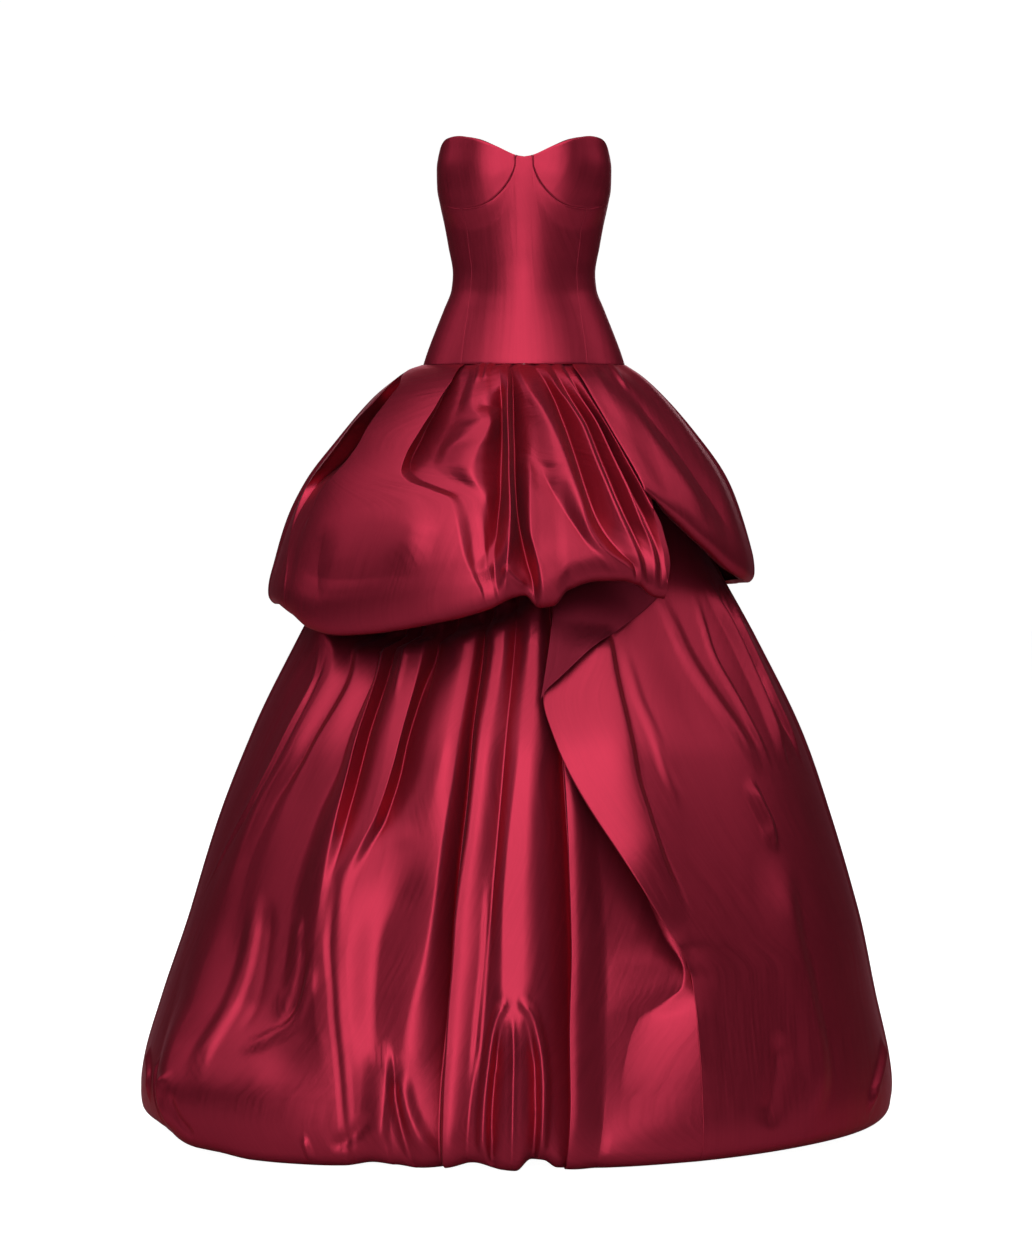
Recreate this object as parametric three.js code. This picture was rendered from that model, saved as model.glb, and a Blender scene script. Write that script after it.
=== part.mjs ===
// A strapless ball gown of crimson satin. A boned drop-waist bodice with two bust cups carries a draped
// bubble overskirt, gathered into the hip seam, and a floor-length bubble skirt with a wrapped front.
// Millimetres, +Z up. The origin is the middle of the natural waist, -Y is the front, +X the wearer's left.
// Azimuths are in degrees round the waist: 0 at the front, 90 at the wearer's left, 180 at the back.
import * as THREE from "three";

// Driving dimensions
const WALL = 2; // satin on its stiff backing
const SEAM_GAP = 0.3; // between the pieces of a seam
const HIP_SEAM_Z = -131; // the drop waist, where both skirts are gathered into the bodice
const UNDER_SEAM = 5; // the skirt's top edge lies this far inside the overskirt's
const SIDE_SEAM = 90;
const CENTRE_BACK = 180;
const CUP_PROUD = 13; // how far a cup stands out from the bodice under it
const ZIP_SLOT = 2.6; // between the two back panels, where the closed coil shows
const ZIP_TAPE = { width: 24, wall: 1, behind: 1.8, bottom: -122, top: 118 };
const ZIP_SLIDER = {
  z: 112, // height of the pull's hinge
  clear: 0.7, // off the back panels
  width: 5,
  plate: { length: 12, depth: 1.6 },
  bail: { length: 7, depth: 4.8, eye: { length: 3.4, depth: 2 } },
};
const ZIP_HINGE = { y: 2.8 }; // out from the slider's inner face
const CUT_SQUARE = { bevelEnabled: false, curveSegments: 6 };
const ZIP_PULL = {
  bar: 1.2,
  arm: 1.4,
  window: { width: 5.8, to: 4.5 },
  length: 25,
  neck: 1.8,
  tip: 3,
  thickness: 1,
};
const NORMAL_STEP = 0.02; // of a column or row, for working out which way the cloth faces

const CRIMSON = 0x8a1b33;
const ZIP_RED = 0x6d1528;

// Bodice: half width, front depth and back depth of the body that the cloth fits, by height.
const BODICE_SECTIONS = [
  { z: 210, halfWidth: 118, front: 106, back: 92 },
  { z: 181, halfWidth: 121.5, front: 111, back: 95 },
  { z: 150, halfWidth: 126, front: 115, back: 98 },
  { z: 123, halfWidth: 125.5, front: 114, back: 99 },
  { z: 100, halfWidth: 121.5, front: 109, back: 97 },
  { z: 70, halfWidth: 115, front: 102, back: 94 },
  { z: 40, halfWidth: 109.5, front: 97, back: 91 },
  { z: 0, halfWidth: 103, front: 94, back: 88 },
  { z: -22, halfWidth: 105, front: 96, back: 91 },
  { z: -50, halfWidth: 115.5, front: 101, back: 98 },
  { z: -80, halfWidth: 127.5, front: 107, back: 106 },
  { z: -110, halfWidth: 139, front: 112, back: 113 },
  { z: HIP_SEAM_Z, halfWidth: 146, front: 116, back: 118 },
];
// Sweetheart neckline, the same on both sides.
const NECKLINE = [
  { az: 0, z: 171 },
  { az: 5, z: 173 },
  { az: 19, z: 186.5 },
  { az: 34, z: 198 },
  { az: 46, z: 201 },
  { az: 57, z: 198 },
  { az: 69, z: 188 },
  { az: 82, z: 170 },
  { az: 96, z: 151 },
  { az: 120, z: 136 },
  { az: 150, z: 129 },
  { az: 180, z: 127 },
];
// The seam under a cup, from the middle of the neckline to the side seam.
const CUP_SEAM = [
  { az: 4.6, z: 171 },
  { az: 6.8, z: 152 },
  { az: 10, z: 135 },
  { az: 16.5, z: 117 },
  { az: 24, z: 105 },
  { az: 33, z: 98.5 },
  { az: 46, z: 96.5 },
  { az: 66, z: 103 },
  { az: 92, z: 116 },
];
const NECK_END = 5.2; // azimuth where the middle of the neckline ends
const CUP_START = 5.5; // azimuth where a cup begins beside it
const CUP_COLUMNS = [CUP_START, 6.6, 8.5, 12, 17, 24, 33, 44, 55, 66, 78, 90]; // across a cup
const BODICE_ROWS = 8;
// The princess seam, from under a cup to the hip seam.
const PRINCESS_TOP = 44;
const PRINCESS_SEAM = [
  { z: 97, az: PRINCESS_TOP },
  { z: 40, az: 46.5 },
  { z: -12, az: 47 },
  { z: -70, az: 42 },
  { z: HIP_SEAM_Z, az: 38 },
];

// Skirt: the bell that the cloth hangs on, by height. shift moves a section towards the wearer's left.
const SKIRT_SECTIONS = [
  { z: HIP_SEAM_Z, halfWidth: 141, front: 111, back: 113, shift: 0 },
  { z: -260, halfWidth: 202, front: 180, back: 195, shift: 0 },
  { z: -400, halfWidth: 266, front: 246, back: 264, shift: 2 },
  { z: -529, halfWidth: 332, front: 312, back: 334, shift: 4 },
  { z: -660, halfWidth: 395, front: 376, back: 400, shift: 4 },
  { z: -790, halfWidth: 443, front: 424, back: 450, shift: 1 },
  { z: -920, halfWidth: 482, front: 460, back: 488, shift: 0 },
  { z: -1051, halfWidth: 518, front: 490, back: 521, shift: -8 },
  { z: -1138, halfWidth: 540, front: 506, back: 541, shift: -11 },
  { z: -1230, halfWidth: 552, front: 518, back: 552, shift: -12 },
];
// Rows of a skirt panel from the hip seam to the turned-under edge: share of the drop, and how far the
// bubble hem has tucked in.
const SKIRT_ROWS = [
  { down: 0, tuck: 0 },
  { down: 0.14, tuck: 0 },
  { down: 0.28, tuck: 0 },
  { down: 0.42, tuck: 0 },
  { down: 0.56, tuck: 0 },
  { down: 0.7, tuck: 0 },
  { down: 0.83, tuck: 0 },
  { down: 0.94, tuck: 0 },
  { down: 0.985, tuck: 7 },
  { down: 1, tuck: 32 },
  { down: 0.984, tuck: 70 },
];
const SKIRT_HEM = [
  { az: -180, z: -1228 },
  { az: -90, z: -1220 },
  { az: -55, z: -1226 },
  { az: -25, z: -1230 },
  { az: 0, z: -1229 },
  { az: 30, z: -1226 },
  { az: 60, z: -1221 },
  { az: 90, z: -1220 },
  { az: 180, z: -1228 },
];

// Fold lines of the skirt's front, crests and troughs in turn: azimuth at the hip seam and at the hem, and
// how far the cloth stands off the bell at the seam, half way down and at the hem.
const SKIRT_FRONT_FOLDS = [
  { top: -90, hem: -90, liftTop: 0, liftMid: 0, liftHem: 0 },
  { top: -84, hem: -86, liftTop: 1, liftMid: 5, liftHem: 4 },
  { top: -76, hem: -82, liftTop: -1, liftMid: -4, liftHem: -3 },
  { top: -68, hem: -77, liftTop: 1, liftMid: 8, liftHem: 7 },
  { top: -62, hem: -72, liftTop: -2, liftMid: -7, liftHem: -5 },
  { top: -56, hem: -66, liftTop: 1, liftMid: 12, liftHem: 6 },
  { top: -51, hem: -60, liftTop: -2, liftMid: -8, liftHem: -9 },
  { top: -46, hem: -52, liftTop: 1, liftMid: 10, liftHem: 7 },
  { top: -42, hem: -44, liftTop: -2, liftMid: -9, liftHem: 3 },
  { top: -37, hem: -38, liftTop: 1, liftMid: 12, liftHem: 5 },
  { top: -32, hem: -32.5, liftTop: -2, liftMid: -7, liftHem: -10 },
  { top: -26, hem: -23, liftTop: 1, liftMid: 12, liftHem: 11 },
  { top: -20, hem: -12.5, liftTop: -2, liftMid: -11, liftHem: -14 },
  { top: -14.5, hem: -9.5, liftTop: 1, liftMid: 12, liftHem: 9 },
  { top: -11, hem: -6.5, liftTop: -2, liftMid: -8, liftHem: -9 },
  { top: -7.5, hem: -3.5, liftTop: 1, liftMid: 7, liftHem: 3 },
  { top: -3, hem: -1.5, liftTop: -2, liftMid: -9, liftHem: 0 },
  { top: 1.5, hem: 0.8, liftTop: 1, liftMid: 13, liftHem: 8 },
  { top: 5, hem: 3.6, liftTop: -2, liftMid: -11, liftHem: -12 },
  { top: 8, hem: 7.3, liftTop: 1, liftMid: 9, liftHem: 10 },
  { top: 12, hem: 11.5, liftTop: -2, liftMid: -7, liftHem: -3 },
  { top: 20, hem: 20, liftTop: 0, liftMid: -4, liftHem: 2 },
  { top: 30, hem: 30, liftTop: 0, liftMid: -4, liftHem: 0 },
];
// The same for the wrapped panel, which starts at its free edge.
const WRAP_FOLDS = [
  { top: 12, hem: 30, liftTop: 0, liftMid: 0, liftHem: 0 },
  { top: 17, hem: 34, liftTop: 0, liftMid: 1, liftHem: 2 },
  { top: 24, hem: 37, liftTop: 0, liftMid: 2, liftHem: 3 },
  { top: 31, hem: 40, liftTop: 0, liftMid: 3, liftHem: 4 },
  { top: 38, hem: 45, liftTop: 1, liftMid: 5, liftHem: 3 },
  { top: 46, hem: 52, liftTop: -1, liftMid: -3, liftHem: -2 },
  { top: 54, hem: 60, liftTop: 1, liftMid: 6, liftHem: 4 },
  { top: 61, hem: 67, liftTop: -1, liftMid: -4, liftHem: -4 },
  { top: 68, hem: 74, liftTop: 1, liftMid: 7, liftHem: 4 },
  { top: 75, hem: 80, liftTop: -1, liftMid: -5, liftHem: -3 },
  { top: 82, hem: 85, liftTop: 1, liftMid: 6, liftHem: 4 },
  { top: 90, hem: 90, liftTop: 0, liftMid: 0, liftHem: 0 },
];
// The wrapped panel's free edge, by height: it swings in to a point and back out to meet the front's seam.
const WRAP_EDGE = [
  { z: HIP_SEAM_Z, az: 13 },
  { z: -400, az: 10 },
  { z: -540, az: 7 },
  { z: -600, az: 3.4 },
  { z: -660, az: 5.8 },
  { z: -800, az: 15.6 },
  { z: -957, az: 28 },
  { z: -972, az: 30 },
  { z: -1230, az: 30 },
];
const WRAP_SEAM_AZ = 30; // where the wrapped panel meets the front below its free edge
const WRAP_CLOSED_Z = { from: -972, to: -1000 }; // the overlap dies away between these heights
const WRAP_FULL_Z = -300; // the overlap stands fully off the bell from here down
// Lift of the overlap at the free edge, at the seam and at the hip, and the azimuth where it has died away.
const WRAP_OVERLAP = { edge: 17, seam: 6.5, hip: 3.6, clear: 40 };
// The fold that crosses the wrapped panel from its point up to the left: the cloth above it lies on top.
const WRAP_CROSS_FOLD = { az: 3.4, z: -600, slope: 3.1, step: 9, width: 34, reach: 36 };

// Overskirt: the ball that the draped cloth stands out to, by height.
const OVERSKIRT_SECTIONS = [
  { z: HIP_SEAM_Z, halfWidth: 146, front: 116, back: 118, shift: 0 },
  { z: -138, halfWidth: 161, front: 133, back: 134, shift: -4 },
  { z: -152, halfWidth: 181, front: 158, back: 158, shift: -5 },
  { z: -181, halfWidth: 212, front: 192, back: 196, shift: -7 },
  { z: -239, halfWidth: 258, front: 243, back: 252, shift: -7 },
  { z: -297, halfWidth: 298, front: 286, back: 300, shift: -9 },
  { z: -355, halfWidth: 325, front: 316, back: 330, shift: -12 },
  { z: -413, halfWidth: 344, front: 334, back: 348, shift: -13 },
  { z: -471, halfWidth: 358, front: 345, back: 360, shift: -15 },
  { z: -520, halfWidth: 362, front: 349, back: 364, shift: -15 },
];
const OVERSKIRT_ROWS = [
  { down: 0, tuck: 0 },
  { down: 0.025, tuck: 0 },
  { down: 0.08, tuck: 0 },
  { down: 0.18, tuck: 0 },
  { down: 0.32, tuck: 0 },
  { down: 0.5, tuck: 0 },
  { down: 0.68, tuck: 0 },
  { down: 0.86, tuck: 0 },
  { down: 0.965, tuck: 5 },
  { down: 1, tuck: 16 },
  { down: 0.985, tuck: 25 },
];
// Lowest line of the bubble hem. The front is hitched up towards the wearer's left.
const OVERSKIRT_HEM = [
  { az: -180, z: -486 },
  { az: -130, z: -496 },
  { az: -90, z: -506 },
  { az: -60, z: -514 },
  { az: -35, z: -509 },
  { az: -15, z: -489 },
  { az: 0, z: -472 },
  { az: 15, z: -460 },
  { az: 36, z: -456 },
];
// The side lobe's hem climbs steeply to the pleats, and runs level round the back.
const SIDE_LOBE_HEM = [
  { az: 30, z: -306 },
  { az: 34, z: -316 },
  { az: 46, z: -366 },
  { az: 60, z: -418 },
  { az: 72, z: -448 },
  { az: 82, z: -455 },
  { az: 100, z: -455 },
  { az: 180, z: -486 },
];
// Its bubble is flat at the corner that lies over the pleats: share of the tuck, from and to an azimuth.
const SIDE_LOBE_TUCK = { corner: 0.2, from: 34, to: 46 };
const OVERSKIRT_FRONT_FOLDS = [
  { top: -90, hem: -90, liftTop: 0, liftMid: 0, liftHem: 0 },
  { top: -80, hem: -81, liftTop: 1, liftMid: 3, liftHem: 3 },
  { top: -75, hem: -72, liftTop: -1, liftMid: -20, liftHem: -3 },
  { top: -69, hem: -65, liftTop: 1, liftMid: 6, liftHem: 2 },
  { top: -54, hem: -50, liftTop: 1, liftMid: 5, liftHem: 4 },
  { top: -40, hem: -36, liftTop: 2, liftMid: 9, liftHem: 3 },
  { top: -35, hem: -31, liftTop: -2, liftMid: -18, liftHem: 0 },
  { top: -30, hem: -27, liftTop: 2, liftMid: -4, liftHem: 4 },
  { top: -25.5, hem: -22.5, liftTop: -2, liftMid: -12, liftHem: -4 },
  { top: -21, hem: -18, liftTop: 2, liftMid: 2, liftHem: 5 },
  { top: -16.5, hem: -13, liftTop: -2, liftMid: -7, liftHem: -4 },
  { top: -11, hem: -7, liftTop: 2, liftMid: 8, liftHem: 6 },
  { top: -6.5, hem: -1, liftTop: -2, liftMid: -6, liftHem: -8 },
  { top: -1.5, hem: 6, liftTop: 2, liftMid: 9, liftHem: 5 },
  { top: 3.5, hem: 11.5, liftTop: -2, liftMid: -8, liftHem: -3 },
  { top: 8.5, hem: 17, liftTop: 2, liftMid: 9, liftHem: 6 },
  { top: 13, hem: 21, liftTop: -2, liftMid: -7, liftHem: -4 },
  { top: 17.5, hem: 25, liftTop: 2, liftMid: 6, liftHem: 5 },
  { top: 21.5, hem: 28, liftTop: -2, liftMid: -7, liftHem: -5 },
  { top: 25, hem: 30.5, liftTop: 2, liftMid: 3, liftHem: 4 },
  { top: 28, hem: 32.5, liftTop: -2, liftMid: -8, liftHem: -6 },
  { top: 38, hem: 34.5, liftTop: -3, liftMid: -8, liftHem: -2 },
];
const SIDE_LOBE_FOLDS = [
  { top: 32, hem: 32.5, liftTop: 5, liftMid: 9, liftHem: 12 },
  { top: 36, hem: 37, liftTop: 5, liftMid: 8, liftHem: 9 },
  { top: 44, hem: 46, liftTop: 0, liftMid: 3, liftHem: 3 },
  { top: 53, hem: 56, liftTop: 1, liftMid: 4, liftHem: 4 },
  { top: 63, hem: 66, liftTop: -1, liftMid: -3, liftHem: 0 },
  { top: 73, hem: 76, liftTop: 1, liftMid: 4, liftHem: 5 },
  { top: 82, hem: 83, liftTop: -1, liftMid: -2, liftHem: -2 },
  { top: 90, hem: 90, liftTop: 0, liftMid: 0, liftHem: 0 },
];
// Hidden backs: even gathers whose depth follows a short repeat.
const SKIRT_BACK = {
  folds: 8,
  rise: [11, 8, 13, 7],
  fall: [-9, -11, -7, -10],
  hemRise: 8,
  hemFall: -8,
  seamLift: 1,
};
const OVERSKIRT_BACK = {
  folds: 7,
  rise: [8, 6, 9],
  fall: [-9, -7, -11],
  hemRise: 5,
  hemFall: -5,
  seamLift: 2,
};

const radians = THREE.MathUtils.degToRad;
const smooth = (from, to, value) => THREE.MathUtils.smoothstep(value, from, to);
const { clamp, lerp } = THREE.MathUtils;

// A smooth curve through the points that never overshoots one, level beyond both ends.
function smoothCurve(places, values) {
  const slopes = places.slice(1).map((place, i) => (values[i + 1] - values[i]) / (place - places[i]));
  const tangents = values.map((_, i) => {
    const before = slopes[i - 1] ?? slopes[i];
    const after = slopes[i] ?? slopes[i - 1];
    return before * after <= 0 ? 0 : (2 * before * after) / (before + after);
  });
  return (at) => {
    const place = clamp(at, places[0], places.at(-1));
    const i = Math.min(places.findLastIndex((start) => start <= place), places.length - 2);
    const span = places[i + 1] - places[i];
    const t = (place - places[i]) / span;
    const fromStart = (values[i] * (1 + 2 * t) + tangents[i] * span * t) * (1 - t) ** 2;
    const fromEnd = (values[i + 1] * (3 - 2 * t) - tangents[i + 1] * span * (1 - t)) * t ** 2;
    return fromStart + fromEnd;
  };
}

// The columns of a table as smooth curves over one of them.
function curves(rows, by) {
  const sorted = [...rows].sort((a, b) => a[by] - b[by]);
  const places = sorted.map((row) => row[by]);
  const made = {};
  for (const key of Object.keys(rows[0])) {
    made[key] = smoothCurve(places, sorted.map((row) => row[key]));
  }
  return made;
}

// A point on the oval of a section, standing off it by a lift.
function ovalPoint(section, z, az, lift) {
  const depth = Math.cos(radians(az)) > 0 ? section.front(z) : section.back(z);
  const shift = section.shift ? section.shift(z) : 0;
  const x = shift + (section.halfWidth(z) + lift) * Math.sin(radians(az));
  const y = -(depth + lift) * Math.cos(radians(az));
  return new THREE.Vector3(x, y, z);
}

// The way the cloth faces at a place, worked out from its neighbours.
function facing(surface, u, v) {
  const across = surface(u + NORMAL_STEP, v).sub(surface(u - NORMAL_STEP, v));
  const down = surface(u, v + NORMAL_STEP).sub(surface(u, v - NORMAL_STEP));
  return down.cross(across).normalize();
}

// A closed cloth wall over a grid of columns and rows: outer face, inner face and the cut edges round it.
// Columns run to the wearer's left and rows run down.
function clothWall(surface, columns, rows, wall = WALL) {
  const points = [];
  for (const side of [0, 1]) {
    for (const v of rows) {
      for (const u of columns) {
        points.push(...surface(u, v).addScaledVector(facing(surface, u, v), -wall * side));
      }
    }
  }
  const width = columns.length;
  const inside = width * rows.length;
  const faces = [];
  const quad = (a, b, c, d) => faces.push(a, b, c, a, c, d);
  for (let r = 0; r + 1 < rows.length; r += 1) {
    for (let c = 0; c + 1 < width; c += 1) {
      const corner = r * width + c;
      quad(corner, corner + width, corner + width + 1, corner + 1);
      quad(inside + corner, inside + corner + 1, inside + corner + width + 1, inside + corner + width);
    }
  }
  for (let r = 0; r + 1 < rows.length; r += 1) {
    const left = r * width;
    const right = left + width - 1;
    quad(left, inside + left, inside + left + width, left + width);
    quad(right, right + width, inside + right + width, inside + right);
  }
  for (let c = 0; c + 1 < width; c += 1) {
    const bottom = inside - width + c;
    quad(c, c + 1, inside + c + 1, inside + c);
    quad(bottom, inside + bottom, inside + bottom + 1, bottom + 1);
  }
  const geometry = new THREE.BufferGeometry();
  geometry.setAttribute("position", new THREE.Float32BufferAttribute(points, 3));
  geometry.setIndex(faces);
  geometry.computeVertexNormals();
  return geometry;
}

function piece(name, geometry, color, metalness = 0, roughness = 0.45) {
  const mesh = new THREE.Mesh(geometry, new THREE.MeshStandardMaterial({ color, metalness, roughness }));
  mesh.name = name;
  return mesh;
}

// Evenly spaced values with both ends.
function spread(from, to, steps) {
  return Array.from({ length: steps + 1 }, (_, i) => lerp(from, to, i / steps));
}

// Bodice

const torso = curves(BODICE_SECTIONS, "z");
const neckline = curves(NECKLINE, "az").z;
const cupSeam = curves(CUP_SEAM, "az").z;
const princess = curves(PRINCESS_SEAM, "z").az;
const halfGapAz = (z, gap) => THREE.MathUtils.radToDeg(gap / 2 / torso.halfWidth(z));

// How far the cup stands out: nothing at its seam, most a little above the middle.
function cupLift(az, z) {
  const side = Math.abs(az);
  const low = cupSeam(side);
  const rise = Math.max(0, (z - low) / (neckline(side) - low));
  const round = smooth(4, 34, side) * (1 - smooth(50, 90, side));
  return CUP_PROUD * round * Math.sin(Math.PI * Math.min(1, rise * 0.84));
}

// A bodice panel: its columns are azimuths where it is widest, its rows are shares of the way down.
function bodiceSurface(azAt, topZ, bottomZ, lift = () => 0) {
  return (column, v) => {
    const z = lerp(topZ(column), bottomZ(column), v);
    const az = azAt(column, z);
    return ovalPoint(torso, z, az, lift(az, z));
  };
}

// The mirror of a panel, for the wearer's right: its columns run from the other side.
function mirrored(surface) {
  return (column, v) => {
    const point = surface(-column, v);
    point.x *= -1;
    return point;
  };
}

function makeBodice() {
  const bodice = new THREE.Group();
  bodice.name = "bodice";
  const { mapLinear } = THREE.MathUtils;
  const gapAz = (z) => halfGapAz(z, SEAM_GAP);
  const hip = () => HIP_SEAM_Z + SEAM_GAP / 2;
  const underCup = (az) => cupSeam(Math.abs(az) + 2 * gapAz(0)) - 2 * SEAM_GAP;
  const neckOrCup = (az) => {
    const towardsCup = clamp((Math.abs(az) - NECK_END) / (CUP_START - NECK_END), 0, 1);
    return lerp(neckline(Math.abs(az)), underCup(az), towardsCup);
  };
  const frontAz = (az, z) => (az / PRINCESS_TOP) * (princess(z) - gapAz(z));
  const beforeSide = (z) => SIDE_SEAM - gapAz(z);
  const afterSide = (z) => SIDE_SEAM + gapAz(z);
  const zipEdge = (z) => CENTRE_BACK - halfGapAz(z, ZIP_SLOT);
  const sideAz = (az, z) => mapLinear(az, PRINCESS_TOP, SIDE_SEAM, princess(z) + gapAz(z), beforeSide(z));
  const cupAz = (az, z) => mapLinear(az, CUP_START, SIDE_SEAM, CUP_START, beforeSide(z));
  const backAz = (az, z) => mapLinear(az, SIDE_SEAM, CENTRE_BACK, afterSide(z), zipEdge(z));

  const underInner = CUP_COLUMNS.filter((az) => az <= PRINCESS_TOP);
  const underOuter = CUP_COLUMNS.filter((az) => az >= PRINCESS_TOP);
  const frontHalf = [NECK_END / 2, NECK_END, ...underInner];
  const frontColumns = [...frontHalf.map((az) => -az).reverse(), 0, ...frontHalf];
  const rows = spread(0, 1, BODICE_ROWS);
  const front = bodiceSurface(frontAz, neckOrCup, hip);
  bodice.add(piece("bodice_centre_front", clothWall(front, frontColumns, rows), CRIMSON));

  const cupColumns = [CUP_COLUMNS[0] + 4 * gapAz(0), ...CUP_COLUMNS.slice(1)];
  const backColumns = spread(SIDE_SEAM, CENTRE_BACK, BODICE_ROWS);
  const panels = [
    { name: "cup", surface: bodiceSurface(cupAz, neckline, cupSeam, cupLift), columns: cupColumns },
    { name: "bodice_side", surface: bodiceSurface(sideAz, underCup, hip), columns: underOuter },
    { name: "bodice_back", surface: bodiceSurface(backAz, neckline, hip), columns: backColumns },
  ];
  for (const { name, surface, columns } of panels) {
    bodice.add(piece(`${name}_left`, clothWall(surface, columns, rows), CRIMSON));
    const mirroredColumns = columns.map((az) => -az).reverse();
    bodice.add(piece(`${name}_right`, clothWall(mirrored(surface), mirroredColumns, rows), CRIMSON));
  }
  return bodice;
}

// Skirts

// Cloth that hangs in folds on an oval body: columns count fold lines and rows count table rows.
// A panel may start at a free edge instead of its first fold line, and may add a lift of its own.
function foldedSurface(panel) {
  const { body, rows, hem, folds, inset = 0, freeEdge, ownLift = () => 0, tuckShare = () => 1 } = panel;
  const last = folds.length - 1;
  const rowAt = curves(rows.map((row, index) => ({ ...row, index })), "index");
  const hemRow = rows.findIndex((row) => row.down === 1);
  return (u, v) => {
    const line = clamp(Math.floor(u), 0, last - 1);
    const share = u - line;
    const between = (key, t) => lerp(folds[line][key], folds[line + 1][key], t);
    const down = rowAt.down(v) + Math.min(0, v) * rows[1].down;
    let az = lerp(between("top", share), between("hem", share), down);
    const z = HIP_SEAM_Z - SEAM_GAP / 2 + down * (hem(az) - HIP_SEAM_Z);
    if (freeEdge) {
      const firstLine = lerp(folds[0].top, folds[0].hem, down);
      az = THREE.MathUtils.mapLinear(az, firstLine, SIDE_SEAM, freeEdge(z), SIDE_SEAM);
    }
    const seamAz = THREE.MathUtils.radToDeg(SEAM_GAP / 2 / body.halfWidth(z));
    az += seamAz * (1 - (2 * u) / last);
    const eased = smooth(0, 1, share);
    const upper = lerp(between("liftTop", eased), between("liftMid", eased), smooth(0, 0.5, down));
    const fold = lerp(upper, between("liftHem", eased), smooth(0.5, 0.95, down));
    const under = 1 - 0.5 * smooth(hemRow - 1, hemRow + 1, v);
    const inward = rowAt.tuck(v) * tuckShare(az) + inset * (1 - down);
    return ovalPoint(body, z, az, fold * under + ownLift(az, z) - inward);
  };
}

// Evenly spread fold lines for a hidden quarter of a skirt.
function backFolds(spec, fromAz, toAz) {
  const lines = spec.folds * 2;
  return Array.from({ length: lines + 1 }, (_, i) => {
    const az = lerp(fromAz, toAz, i / lines);
    const atSeam = i === 0 || i === lines;
    const isCrest = i % 2 === 1;
    const repeat = isCrest ? spec.rise : spec.fall;
    const liftMid = atSeam ? 0 : repeat[Math.floor(i / 2) % repeat.length];
    const liftHem = atSeam ? 0 : isCrest ? spec.hemRise : spec.hemFall;
    const liftTop = isCrest ? spec.seamLift : -spec.seamLift;
    return { top: az, hem: az, liftTop, liftMid, liftHem };
  });
}

// A panel's columns lie on its fold lines and half way between them.
function foldColumns(folds) {
  return spread(0, folds.length - 1, (folds.length - 1) * 2);
}

const wrapEdge = curves(WRAP_EDGE, "z").az;

// How far the wrapped panel lies off the bell: over the front panel up to its free edge, and a step more
// above the fold that crosses it.
function wrapLift(az, z) {
  const edge = wrapEdge(z);
  const across = edge < WRAP_SEAM_AZ ? clamp((az - edge) / (WRAP_SEAM_AZ - edge), 0, 1) : 1;
  const hang = 1 - smooth(WRAP_FULL_Z, HIP_SEAM_Z, z);
  const overlap = lerp(WRAP_OVERLAP.edge, WRAP_OVERLAP.seam, across ** 0.7);
  const lapped = lerp(WRAP_OVERLAP.hip, overlap, hang) * (1 - smooth(WRAP_SEAM_AZ, WRAP_OVERLAP.clear, az));
  const open = smooth(WRAP_CLOSED_Z.to, WRAP_CLOSED_Z.from, z);
  const foldZ = WRAP_CROSS_FOLD.z + (az - WRAP_CROSS_FOLD.az) * WRAP_CROSS_FOLD.slope;
  const above = smooth(foldZ - WRAP_CROSS_FOLD.width / 2, foldZ + WRAP_CROSS_FOLD.width / 2, z);
  const near = 1 - smooth(WRAP_CROSS_FOLD.reach - 14, WRAP_CROSS_FOLD.reach + 6, az);
  return lapped * open + WRAP_CROSS_FOLD.step * above * near * hang;
}

function makeSkirt() {
  const skirt = new THREE.Group();
  skirt.name = "skirt";
  const body = curves(SKIRT_SECTIONS, "z");
  const hem = curves(SKIRT_HEM, "az").z;
  const leftBack = backFolds(SKIRT_BACK, SIDE_SEAM, CENTRE_BACK);
  const rightBack = backFolds(SKIRT_BACK, -CENTRE_BACK, -SIDE_SEAM);
  const allRows = SKIRT_ROWS.map((_, i) => i);
  const wrapRows = [0, 1, 2, 2.5, 2.75, 3, 3.25, 3.5, 4, 4.5, 5, 5.35, 5.7, ...allRows.slice(6)];
  const panels = [
    { name: "skirt_front", folds: SKIRT_FRONT_FOLDS, rows: allRows },
    { name: "skirt_wrap", folds: WRAP_FOLDS, rows: wrapRows, freeEdge: wrapEdge, ownLift: wrapLift },
    { name: "skirt_back_left", folds: leftBack, rows: allRows },
    { name: "skirt_back_right", folds: rightBack, rows: allRows },
  ];
  for (const { name, rows, ...panel } of panels) {
    const surface = foldedSurface({ body, rows: SKIRT_ROWS, hem, inset: UNDER_SEAM, ...panel });
    skirt.add(piece(name, clothWall(surface, foldColumns(panel.folds), rows), CRIMSON));
  }
  return skirt;
}

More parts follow.
